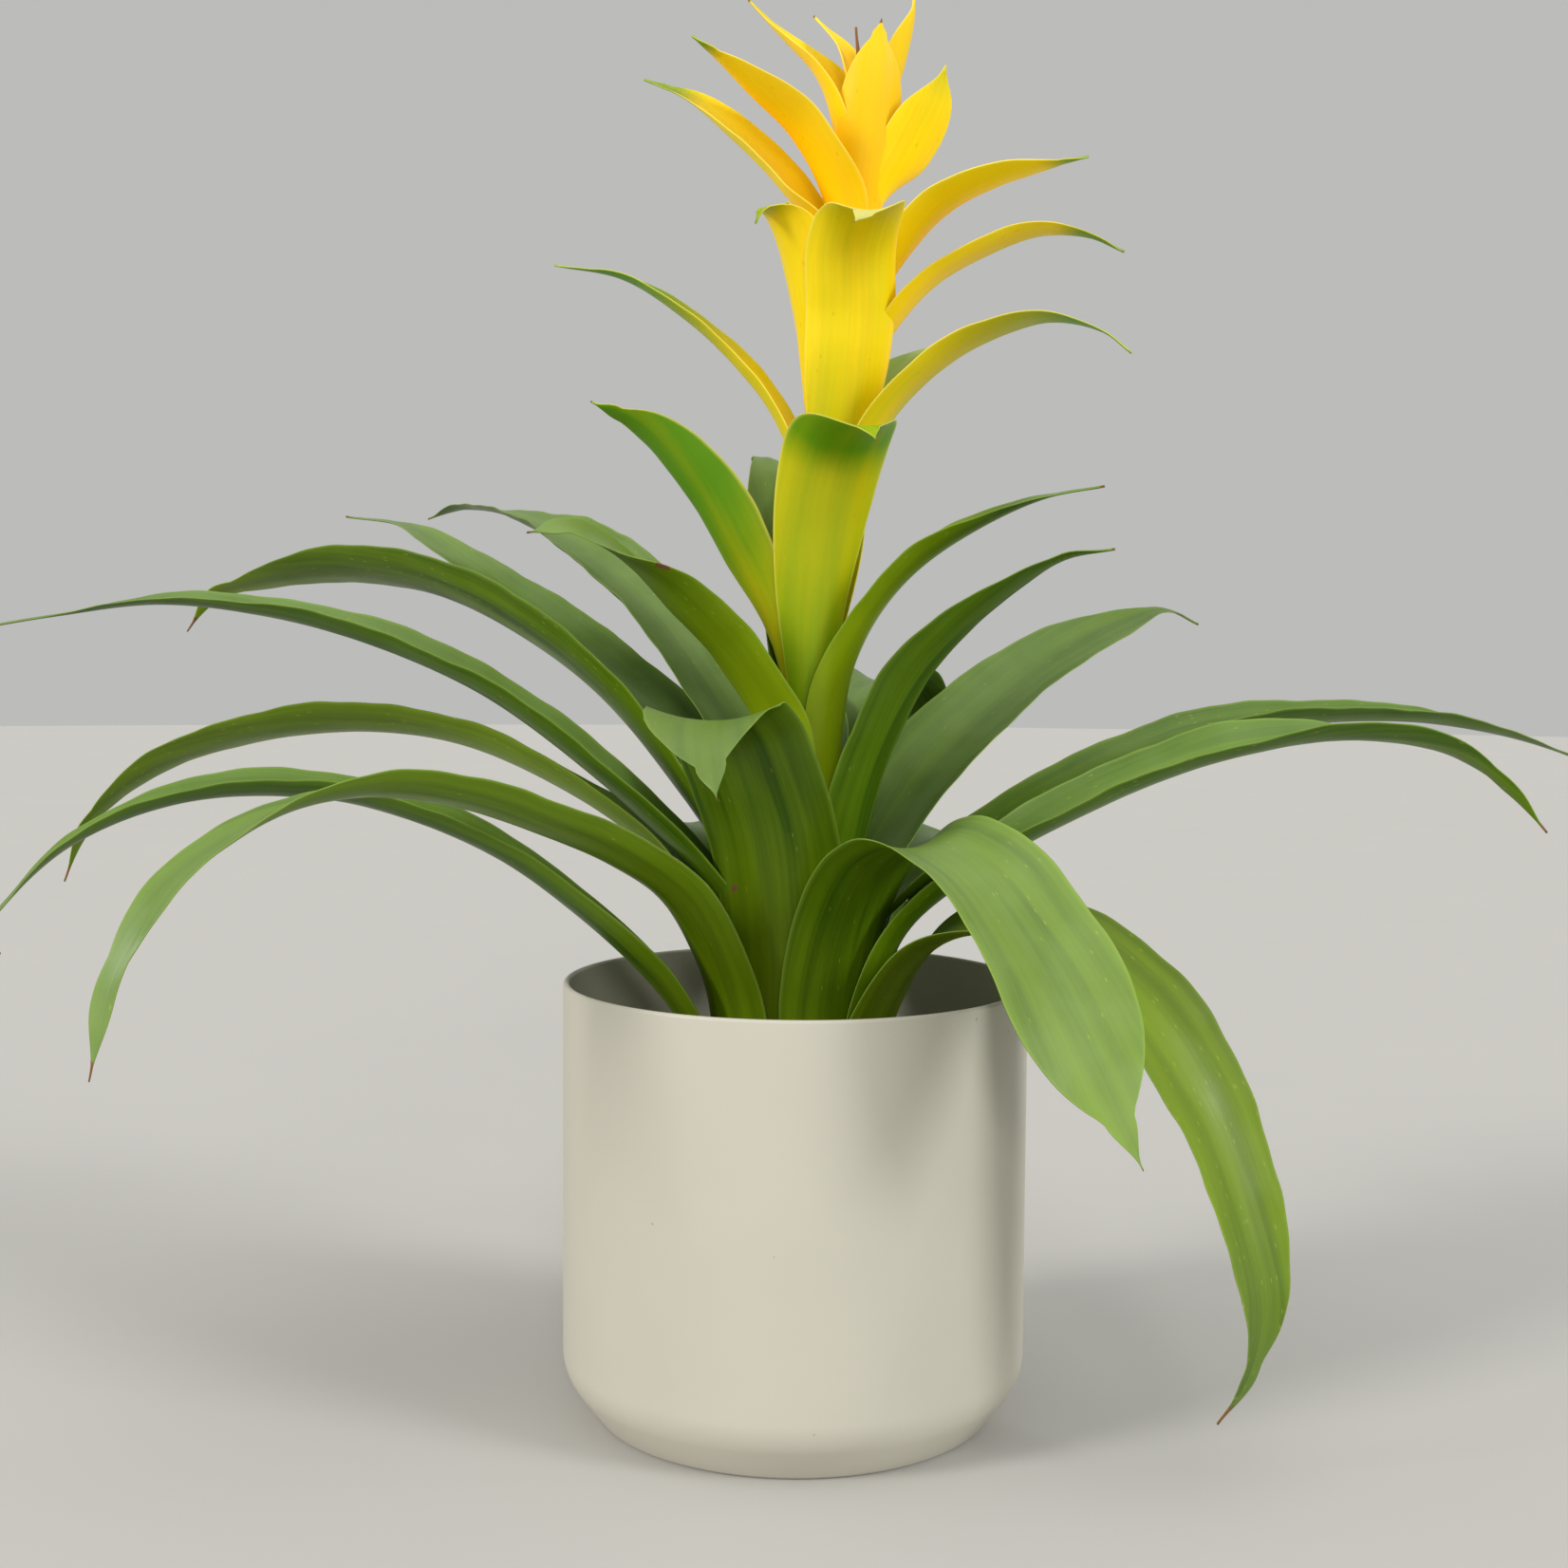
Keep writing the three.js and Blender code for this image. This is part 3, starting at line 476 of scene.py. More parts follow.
def rounded(points, radius, steps=5):
    """Points of a profile with each inner corner replaced by a short arc of the given radius."""
    result = [points[0]]
    for before, corner, after in zip(points, points[1:], points[2:]):
        corner_v = Vector(corner)
        back = Vector(before) - corner_v
        ahead = Vector(after) - corner_v
        reach = min(radius, back.length * ROUND_REACH, ahead.length * ROUND_REACH)
        if reach < LEAST_ROUND:
            result.append(corner)
            continue
        start = corner_v + back.normalized() * reach
        end = corner_v + ahead.normalized() * reach
        for step in range(steps + 1):
            share = step / steps
            first = start.lerp(corner_v, share)
            second = corner_v.lerp(end, share)
            result.append(tuple(first.lerp(second, share)))
    result.append(points[-1])
    return result


def pot_paint(colour):
    """Sprayed satin-matt stone-white paint on pressed sheet: even and soft, with a faint orange-peel
    ripple, slight handling marks and a little grit."""
    material, tree = new_material("Satin-matt sprayed paint")
    place = node(tree, "ShaderNodeTexCoord").outputs["Object"]
    # Orange peel of sprayed paint is about 1.5 mm across
    peel = node(tree, "ShaderNodeTexNoise", {"Vector": place, "Scale": 1 / 0.0015, "Detail": 2.0})
    # Faint handling marks a few centimetres long
    cloud = node(tree, "ShaderNodeTexNoise", {"Vector": place, "Scale": 1 / 0.04, "Detail": 4.0})
    tone = node(tree, "ShaderNodeMapRange", {
        "Value": cloud, "From Min": 0.35, "From Max": 0.7, "To Max": 0.16})
    marked = [c * 0.78 for c in colour]
    paint = node(tree, "ShaderNodeMix", {0: tone, 6: colour, 7: marked}, data_type="RGBA")
    # Tiny pits and grit in the paint, about 6 mm apart
    grit = node(tree, "ShaderNodeTexVoronoi", {"Vector": place, "Scale": 1 / 0.006})
    spot = node(tree, "ShaderNodeMapRange", {
        "Value": grit, "From Min": 0.06, "From Max": 0.1, "To Min": 0.5, "To Max": 0.0})
    rare = node(tree, "ShaderNodeSeparateColor", {"Color": grit.outputs["Color"]})
    chosen = node(tree, "ShaderNodeMath", {0: rare.outputs["Red"], 1: 0.93}, operation="GREATER_THAN")
    speck = node(tree, "ShaderNodeMath", {0: spot, 1: chosen}, operation="MULTIPLY")
    speckled = node(tree, "ShaderNodeMix", {
        0: speck, 6: paint.outputs[2], 7: linear("#77716A")}, data_type="RGBA")
    sheen = node(tree, "ShaderNodeMapRange", {
        "Value": cloud, "From Min": 0.3, "From Max": 0.7, "To Min": 0.46, "To Max": 0.56})
    bump = node(tree, "ShaderNodeBump", {"Height": peel, "Strength": 0.18, "Distance": 0.00008})
    finish_material(tree, {
        "Base Color": speckled.outputs[2], "Roughness": sheen, "IOR": 1.48, "Normal": bump})
    return material


def black_plastic(colour):
    """Thin black polypropylene, thermoformed: a dull satin with dust and water marks."""
    material, tree = new_material("Thermoformed black polypropylene")
    place = node(tree, "ShaderNodeTexCoord").outputs["Object"]
    dust = node(tree, "ShaderNodeTexNoise", {"Vector": place, "Scale": 1 / 0.012, "Detail": 6.0})
    grey = node(tree, "ShaderNodeMapRange", {
        "Value": dust, "From Min": 0.5, "From Max": 0.75, "To Max": 0.35})
    dusty = node(tree, "ShaderNodeMix", {0: grey, 6: colour, 7: linear("#5A544C")}, data_type="RGBA")
    rough = node(tree, "ShaderNodeMapRange", {
        "Value": dust, "From Min": 0.3, "From Max": 0.7, "To Min": 0.35, "To Max": 0.6})
    grain = node(tree, "ShaderNodeTexNoise", {"Vector": place, "Scale": 1 / 0.0008, "Detail": 2.0})
    bump = node(tree, "ShaderNodeBump", {"Height": grain, "Strength": 0.2, "Distance": 0.00005})
    finish_material(tree, {"Base Color": dusty.outputs[2], "Roughness": rough, "IOR": 1.49, "Normal": bump})
    return material


def bark_and_peat(name, dark, pale, rough_low):
    """Milled bark and peat: crumbly, matt, dark where damp and paler on dry broken faces."""
    material, tree = new_material(name)
    place = node(tree, "ShaderNodeTexCoord").outputs["Object"]
    # Crumbs of peat are 1 to 3 mm across
    crumb = node(tree, "ShaderNodeTexNoise", {
        "Vector": place, "Scale": 1 / 0.0025, "Detail": 8.0, "Roughness": 0.65})
    patch = node(tree, "ShaderNodeTexNoise", {"Vector": place, "Scale": 1 / 0.009, "Detail": 3.0})
    both = node(tree, "ShaderNodeMath", {0: crumb, 1: patch}, operation="MULTIPLY")
    tone = node(tree, "ShaderNodeMapRange", {"Value": both, "From Min": 0.14, "From Max": 0.42})
    colour = node(tree, "ShaderNodeMix", {0: tone, 6: dark, 7: pale}, data_type="RGBA")
    rough = node(tree, "ShaderNodeMapRange", {"Value": crumb, "To Min": rough_low, "To Max": 0.98})
    bump = node(tree, "ShaderNodeBump", {"Height": crumb, "Strength": 0.9, "Distance": 0.0008})
    finish_material(tree, {"Base Color": colour.outputs[2], "Roughness": rough, "Normal": bump})
    return material


def waxy_tissue(name, tints, soft):
    """Living blade tissue with a thin waxy skin: parallel veins run the length of the blade, light comes
    through it, the inner face carries a pale bloom with a painted sheen, the margins carry a painted
    highlight, and tips and scars dry to brown. The blade's own attributes say where."""
    material, tree = new_material(name)
    reads = {}
    for attribute in ("across", "inner", "ripe", "bloom", "dry", "fleck", "tint", "warm"):
        reads[attribute] = node(tree, "ShaderNodeAttribute", attribute_name=attribute).outputs["Fac"]
    # The blade map is in tenths of a metre: across, then along
    place = node(tree, "ShaderNodeUVMap", uv_map="blade").outputs["UV"]
    # Veins are about 1.3 mm apart and run 60 mm before they fade
    vein_place = node(tree, "ShaderNodeMapping", {"Vector": place, "Scale": (77.0, 1.7, 1.0)})
    vein = node(tree, "ShaderNodeTexNoise", {
        "Vector": vein_place, "Scale": 1.0, "Detail": 2.0}, noise_dimensions="2D")
    # Broad streaks 7 mm wide and 120 mm long
    streak_place = node(tree, "ShaderNodeMapping", {"Vector": place, "Scale": (14.0, 0.85, 1.0)})
    streak = node(tree, "ShaderNodeTexNoise", {
        "Vector": streak_place, "Scale": 1.0, "Detail": 2.0}, noise_dimensions="2D")
    # Clouds of tone 20 mm across
    cloud = node(tree, "ShaderNodeTexNoise", {
        "Vector": place, "Scale": 5.0, "Detail": 2.0}, noise_dimensions="2D")
    vein_tone = node(tree, "ShaderNodeMapRange", {
        "Value": vein, "From Min": 0.3, "From Max": 0.7, "To Min": 0.05, "To Max": 0.35})
    streak_tone = node(tree, "ShaderNodeMapRange", {
        "Value": streak, "From Min": 0.25, "From Max": 0.75, "To Min": 0.1, "To Max": 0.55})
    tone = node(tree, "ShaderNodeMath", {0: vein_tone, 1: streak_tone}, operation="ADD")
    # Ripening spreads along the veins, so its edge is drawn out into streaks
    drawn = node(tree, "ShaderNodeMapRange", {
        "Value": streak, "From Min": 0.3, "From Max": 0.7, "To Min": -0.16, "To Max": 0.16})
    ripe = node(tree, "ShaderNodeMath", {0: reads["ripe"], 1: drawn}, operation="ADD", use_clamp=True)
    ripe_held = node(tree, "ShaderNodeMath", {0: ripe, 1: reads["ripe"]}, operation="MULTIPLY")
    ripe_both = node(tree, "ShaderNodeMath", {0: ripe_held, 1: 0.5}, operation="POWER")
    # Pale waxy bloom with a painted sheen on the inner face, broken into clouds
    bloom_and_sheen_cloud = node(tree, "ShaderNodeMapRange", {
        "Value": cloud, "From Min": 0.3, "From Max": 0.7, "To Min": 0.7})
    bloom_and_sheen_face = node(tree, "ShaderNodeMath", {0: reads["bloom"], 1: reads["inner"]}, operation="MULTIPLY")
    bloom = node(tree, "ShaderNodeMath", {0: bloom_and_sheen_face, 1: bloom_and_sheen_cloud}, operation="MULTIPLY")
    # A painted highlight along each margin, where light catches the thin edge
    side = node(tree, "ShaderNodeMath", {0: reads["across"]}, operation="ABSOLUTE")
    edge = node(tree, "ShaderNodeMapRange", {
        "Value": side, "From Min": 0.93, "From Max": 0.995, "To Max": EDGE_HIGHLIGHT_SHARE},
        interpolation_type="SMOOTHSTEP")
    # Flecks are rare spots under 1 mm wide, drawn out along the veins
    fleck_place = node(tree, "ShaderNodeMapping", {"Vector": place, "Scale": (70.0, 22.0, 1.0)})
    flecks = node(tree, "ShaderNodeTexVoronoi", {
        "Vector": fleck_place, "Scale": 1.0}, voronoi_dimensions="2D")
    fleck_pick = node(tree, "ShaderNodeSeparateColor", {"Color": flecks.outputs["Color"]})
    fleck_rare = node(tree, "ShaderNodeMath", {
        0: fleck_pick.outputs["Green"], 1: reads["fleck"]}, operation="LESS_THAN")
    fleck_spot = node(tree, "ShaderNodeMapRange", {
        "Value": flecks, "From Min": 0.08, "From Max": 0.22, "To Min": 0.32, "To Max": 0.0})
    fleck = node(tree, "ShaderNodeMath", {0: fleck_spot, 1: fleck_rare}, operation="MULTIPLY")
    # Dry tissue has a ragged edge a few millimetres deep
    ragged = node(tree, "ShaderNodeTexNoise", {
        "Vector": place, "Scale": 38.0, "Detail": 2.0}, noise_dimensions="2D")
    ragged_edge = node(tree, "ShaderNodeMapRange", {
        "Value": ragged, "From Min": 0.3, "From Max": 0.7, "To Min": -0.22, "To Max": 0.22})
    dry_sum = node(tree, "ShaderNodeMath", {0: reads["dry"], 1: ragged_edge}, operation="ADD")
    dry = node(tree, "ShaderNodeMapRange", {
        "Value": dry_sum, "From Min": 0.35, "From Max": 0.6}, interpolation_type="SMOOTHSTEP")
    # The tints lie over one another in this order
    colour = tints["deep"]
    for tint, share in (
            ("light", tone), ("warm", reads["warm"]), ("ripe", ripe_both), ("bloom", bloom),
            ("edge", edge), ("fleck", fleck), ("dry", dry)):
        mixed = node(tree, "ShaderNodeMix", {0: share, 6: colour, 7: tints[tint]}, data_type="RGBA")
        colour = mixed.outputs[2]
    # Each blade is a little lighter or darker than the next
    toned = node(tree, "ShaderNodeHueSaturation", {"Color": colour, "Value": reads["tint"]})
    waxy = node(tree, "ShaderNodeMapRange", {
        "Value": cloud, "From Min": 0.3, "From Max": 0.7, "To Min": tints["gloss"],
        "To Max": tints["gloss"] + 0.1})
    rough = node(tree, "ShaderNodeMix", {0: dry, 2: waxy, 3: 0.75})
    relief = node(tree, "ShaderNodeMath", {0: vein, 1: cloud}, operation="ADD")
    bump = node(tree, "ShaderNodeBump", {"Height": relief, "Strength": 0.3, "Distance": 0.0002})
    finish_material(tree, {
        "Base Color": toned, "Roughness": rough, "IOR": 1.42, "Specular IOR Level": 0.3,
        "Subsurface Weight": soft, "Subsurface Radius": tints["scatter"], "Subsurface Scale": 0.0016,
        "Normal": bump})
    return material


def centripetal(points, divisions=400):
    """Points along a centripetal Catmull-Rom curve through the given ones, with their arc lengths."""
    points = np.asarray(points, float)
    ends = np.vstack([2 * points[0] - points[1], points, 2 * points[-1] - points[-2]])
    place = np.linspace(0, len(points) - 1, divisions + 1)
    span = np.minimum(place.astype(int), len(points) - 2)
    share = (place - span)[:, None]
    p0, p1, p2, p3 = (ends[span + offset] for offset in range(4))
    d0, d1, d2 = (
        np.maximum(np.sum((b - a) ** 2, axis=1), 1e-8)[:, None] ** 0.25
        for a, b in ((p0, p1), (p1, p2), (p2, p3)))
    start = ((p1 - p0) / d0 - (p2 - p0) / (d0 + d1) + (p2 - p1) / d1) * d1
    end = ((p2 - p1) / d1 - (p3 - p1) / (d1 + d2) + (p3 - p2) / d2) * d1
    c2 = -3 * p1 + 3 * p2 - 2 * start - end
    c3 = 2 * p1 - 2 * p2 + start + end
    curve = p1 + start * share + c2 * share ** 2 + c3 * share ** 3
    lengths = np.concatenate([[0], np.cumsum(np.linalg.norm(np.diff(curve, axis=0), axis=1))])
    return curve, lengths


def unit(vectors):
    return vectors / np.linalg.norm(vectors, axis=-1, keepdims=True)


def width_share(along, clasp, widen, taper, fullness):
    """Share of a blade's full width at each place along it, with the drip tip kept at its end."""
    narrowing = np.clip((along - taper) / (TAPER_END - taper), 0, 1)
    foot = 1 + (clasp - 1) * (1 - smooth(along, 0, widen))
    drip = DRIP_SHARE * smooth(1 - along, 0, DRIP_LENGTH)
    return np.maximum((1 - narrowing ** fullness) * foot, drip)


def blade_stations(blade, row):
    """Midrib points, the directions across and inward, widths and bends at even steps along a blade."""
    turn = math.radians(blade["azimuth"])
    outward = np.array([math.cos(turn), math.sin(turn), 0])
    sideways = np.array([-math.sin(turn), math.cos(turn), 0])
    foot_radius, foot_height = blade["path"][0][:2]
    foot_shift = stem_shift(foot_height)
    points = []
    for reach, height, *side in blade["path"]:
        near_stem = 1 - smooth(reach, foot_radius + FREE_START, foot_radius + FREE_END)
        middle = foot_shift + (stem_shift(height) - foot_shift) * near_stem
        point = outward * reach + sideways * (side[0] if side else 0)
        points.append(point + np.array([middle, 0, height]))
    curve, lengths = centripetal(points)
    rows = max(LEAST_ROWS, round(lengths[-1] / row))
    along = np.linspace(0, 1, rows + 1)
    target = along * lengths[-1]
    point = np.column_stack([np.interp(target, lengths, curve[:, axis]) for axis in range(3)])
    tangent = unit(np.gradient(point, axis=0))
    across = unit(sideways - tangent * (tangent @ sideways)[:, None])
    inward = np.cross(tangent, across)
    rolled = blade.get("roll", 0) * smooth(along, ROLL_START, ROLL_END)
    twisted = blade.get("twist", 0) * smooth(along, TWIST_START, 1)
    roll = np.radians(rolled + twisted)[:, None]
    side = across * np.cos(roll) + inward * np.sin(roll)
    inner = inward * np.cos(roll) - across * np.sin(roll)
    share = width_share(
        along, blade.get("clasp", USUAL_CLASP), blade.get("widen", USUAL_WIDEN),
        blade.get("taper", USUAL_TAPER), blade.get("fullness", USUAL_FULLNESS))
    width = np.maximum(TIP_WIDTH * 0.5, blade["width"] * share)
    axis = np.column_stack([stem_shift(point[:, 2]), np.zeros(rows + 1), point[:, 2]])
    reach = np.maximum(foot_radius, (point - axis) @ outward)
    open_bend = math.radians(blade["channel"]) / blade["width"]
    opened = smooth(reach, foot_radius + OPENING_START, foot_radius + OPENING_END)
    bend = 1 / reach + (open_bend - 1 / reach) * opened
    return {"along": along, "point": point, "side": side, "inner": inner, "width": width,
            "bend": bend, "length": lengths[-1]}


def ramp(along, stops):
    """Values between (place, value) stops."""
    return np.interp(along, [place for place, _ in stops], [value for _, value in stops])


def blade_mesh(blade, look, sizes, columns, seed):
    """One closed blade: two faces of rows and columns, joined round the margins."""
    draw = np.random.RandomState(seed)
    stations = blade_stations(blade, sizes.row / MM)
    along = stations["along"]
    length = stations["length"]
    rows = len(along)
    share = np.sin(np.linspace(-math.pi / 2, math.pi / 2, columns))
    swell = (sizes.thickness - sizes.margin) * (1 - np.abs(share) ** THINNING_POWER)
    half = (sizes.margin + swell) / MM / 2
    # Margins wave in and out of the blade, each side in its own time
    wave = np.zeros((rows, columns))
    for side in (-1, 1):
        reach = np.clip(side * share, 0, 1) ** WAVE_NARROWING
        for wavelength, size in MARGIN_WAVES:
            phase = draw.uniform(0, 2 * math.pi)
            swing = np.sin(2 * math.pi * along * length / wavelength + phase) * size
            wave += swing[:, None] * reach[None, :]
    free = smooth(along, WAVE_START, WAVE_END) * look["ripple"] * sizes.ripple / MM
    wave *= (free * np.clip(stations["width"] / blade["width"], 0, 1) ** 0.5)[:, None]
    # The last few millimetres draw in to a point
    point = POINT_SHARE + (1 - POINT_SHARE) * np.sqrt(np.clip((1 - along) * length / POINT_LENGTH, 0, 1))
    radius = 1 / stations["bend"][:, None]
    angle = share[None, :] * (point * stations["width"])[:, None] / 2 * stations["bend"][:, None]
    layers = []
    for face in (-1, 1):
        shifted = radius - face * half[None, :]
        outwards = radius - shifted * np.cos(angle) + wave
        layers.append(
            stations["point"][:, None, :]
            + stations["side"][:, None, :] * (shifted * np.sin(angle))[:, :, None]
            + stations["inner"][:, None, :] * outwards[:, :, None])
    vertices = np.concatenate([layer.reshape(-1, 3) for layer in layers]) * MM
    mesh = bpy.data.meshes.new(blade["name"])
    mesh.from_pydata(vertices.tolist(), [], blade_faces(rows, columns))
    paint_blade(mesh, blade, look, stations, share, draw)
    mesh.update()
    return mesh


def blade_faces(rows, columns):
    """Faces of both sides of a blade, and of the strip that joins them round its margins and its ends."""
    layer = rows * columns
    faces = []
    for row in range(rows - 1):
        for column in range(columns - 1):
            near = row * columns + column
            far = layer + near
            faces.append((near, near + 1, near + columns + 1, near + columns))
            faces.append((far, far + columns, far + columns + 1, far + 1))
        left = row * columns
        right = left + columns - 1
        faces.append((left, left + columns, layer + left + columns, layer + left))
        faces.append((right, layer + right, layer + right + columns, right + columns))
    last = (rows - 1) * columns
    for column in range(columns - 1):
        faces.append((column, layer + column, layer + column + 1, column + 1))
        faces.append((last + column, last + column + 1, layer + last + column + 1, layer + last + column))
    return faces


def paint_blade(mesh, blade, look, stations, share, draw):
    """Writes the blade's map, and its attributes for the tissue: how ripe, dry or flecked it is."""
    length = stations["length"]
    rows = len(stations["along"])
    columns = len(share)
    layer = rows * columns
    grid_along = np.repeat(stations["along"], columns)
    grid_across = np.tile(share, rows)
    from_tip = (1 - grid_along) * length
    dry_length = look["dry"]
    dry = smooth(dry_length * DRY_FADE - from_tip, 0, dry_length) * min(1.0, dry_length / DRY_FULL_LENGTH)
    for place, side, size in look["scars"]:
        gap = np.hypot((grid_along - place) * length, (grid_across - side) * blade["width"] / 2)
        dry = np.maximum(dry, 1 - smooth(gap, size * SCAR_CORE, size * SCAR_EDGE))
    tint = look["tint"] * draw.uniform(1 - TINT_SPREAD, 1 + TINT_SPREAD)
    values = {
        "across": grid_across,
        "ripe": ramp(grid_along, look["ripe"]),
        "bloom": ramp(grid_along, look["bloom"]),
        "dry": dry,
        "fleck": np.full(layer, look["fleck"]),
        "tint": np.full(layer, tint),
        "warm": np.full(layer, look["warm"]),
    }
    for name, value in values.items():
        attribute = mesh.attributes.new(name, "FLOAT", "POINT")
        attribute.data.foreach_set("value", np.tile(value, 2).astype(np.float32))
    inner = mesh.attributes.new("inner", "FLOAT", "POINT")
    inner.data.foreach_set("value", np.repeat([0.0, 1.0], layer).astype(np.float32))
    blade_map = mesh.uv_layers.new(name="blade")
    offset = draw.uniform(0, MAP_SHIFT, 2)
    half_width = np.repeat(stations["width"], columns) / 2
    map_u = np.tile(grid_across * half_width / MAP_UNIT, 2)
    map_v = np.tile(grid_along * length / MAP_UNIT, 2)
    corners = np.zeros(len(mesh.loops), np.int32)
    mesh.loops.foreach_get("vertex_index", corners)
    places = np.column_stack([map_u[corners] + offset[0], map_v[corners] + offset[1]])
    blade_map.data.foreach_set("uv", places.ravel().astype(np.float32))


# How each leaf looks, where it differs from the usual. ripe and bloom (pale wax with a painted sheen on the
# inner face) run from foot to tip as (share of length, strength). dry is the dried length at the tip in
# millimetres. A scar is (share of length, share of half width, size in millimetres). fleck is the share of
# cells with a spot, tint the brightness, and ripple how much the margins wave.
USUAL_LEAF = {
    "ripe": [(0, 0.35), (0.3, 0.05), (0.7, 0), (1, 0.1)],
    "bloom": [(0, 0.15), (0.5, 0.3), (1, 0.4)],
    "dry": 2.0, "fleck": 0.015, "ripple": 1.0, "warm": 0.0, "tint": 1.0, "scars": ()}
LEAF_LOOKS = {
    "leaf_01": {"dry": 9, "tint": 0.9, "scars": [(0.1, -0.95, 6), (0.06, -0.9, 4)]},
    "leaf_02": {"ripe": [(0, 0.4), (0.35, 0.35), (0.7, 0.4), (1, 0.1)], "dry": 7, "fleck": 0.1,
        "bloom": [(0, 0.1), (1, 0.15)], "ripple": 1.8},
    "leaf_03": {"ripe": [(0, 0.35), (0.4, 0.15), (1, 0.1)], "dry": 5,
        "bloom": [(0, 0.2), (0.6, 0.3), (1, 0.6)]},
    "leaf_05": {"ripe": [(0, 0.4), (0.3, 0.08), (0.6, 0.15), (1, 0.3)], "fleck": 0.025,
        "bloom": [(0, 0), (0.3, 0.05), (0.5, 0.45), (1, 0.5)], "dry": 1.5},
    "leaf_06": {"ripe": [(0, 0.4), (0.5, 0.25), (1, 0.15)], "dry": 6, "fleck": 0.11},
    "leaf_07": {"bloom": [(0, 0.2), (1, 0.35)], "dry": 3, "fleck": 0.05},
    "leaf_09": {"ripe": [(0, 0.6), (0.3, 0.3), (0.6, 0.1), (1, 0.15)], "dry": 1.5,
        "bloom": [(0, 0.2), (1, 0.55)], "scars": [(0.42, -0.62, 1.5)], "tint": 0.8},
    "leaf_10": {"bloom": [(0, 0.2), (0.5, 0.35), (1, 0.3)], "fleck": 0.06, "dry": 3},
    "leaf_11": {"bloom": [(0, 0.2), (0.5, 0.4), (1, 0.55)], "dry": 2},
    "leaf_13": {"ripe": [(0, 0.2), (0.5, 0.12), (0.85, 0.2), (1, 0.6)], "fleck": 0.15, "dry": 6},
    "leaf_15": {"bloom": [(0, 0.3), (0.5, 0.55), (0.85, 0.35), (1, 0.05)], "dry": 1.5},
    "leaf_16": {"bloom": [(0, 0.2), (0.6, 0.45), (1, 0.7)], "dry": 2},
    "leaf_17": {"ripe": [(0, 0.4), (0.4, 0.05), (1, 0.05)], "bloom": [(0, 0.2), (1, 0.5)], "dry": 1.5,
        "tint": 0.9},
    "leaf_18": {"bloom": [(0, 0.5), (0.7, 0.55), (1, 0.6)], "dry": 1.5, "tint": 0.85},
    "leaf_19": {"bloom": [(0, 0.5), (0.5, 0.5), (1, 0.55)], "dry": 1.5, "ripple": 1.8, "tint": 0.9},
    "leaf_20": {"ripe": [(0, 1), (0.35, 0.85), (0.6, 0.35), (0.85, 0.1), (1, 0.1)],
        "bloom": [(0, 0.1), (1, 0.6)], "dry": 1.5, "fleck": 0.06, "scars": [(0.74, 0.96, 2)]},
    "leaf_21": {"ripe": [(0, 1), (0.35, 0.95), (0.6, 0.5), (0.85, 0.1), (1, 0)],
        "bloom": [(0, 0.1), (1, 0.4)], "dry": 1.5, "fleck": 0.05},
    "leaf_22": {"bloom": [(0, 0.5), (1, 0.65)], "dry": 1.5},
}

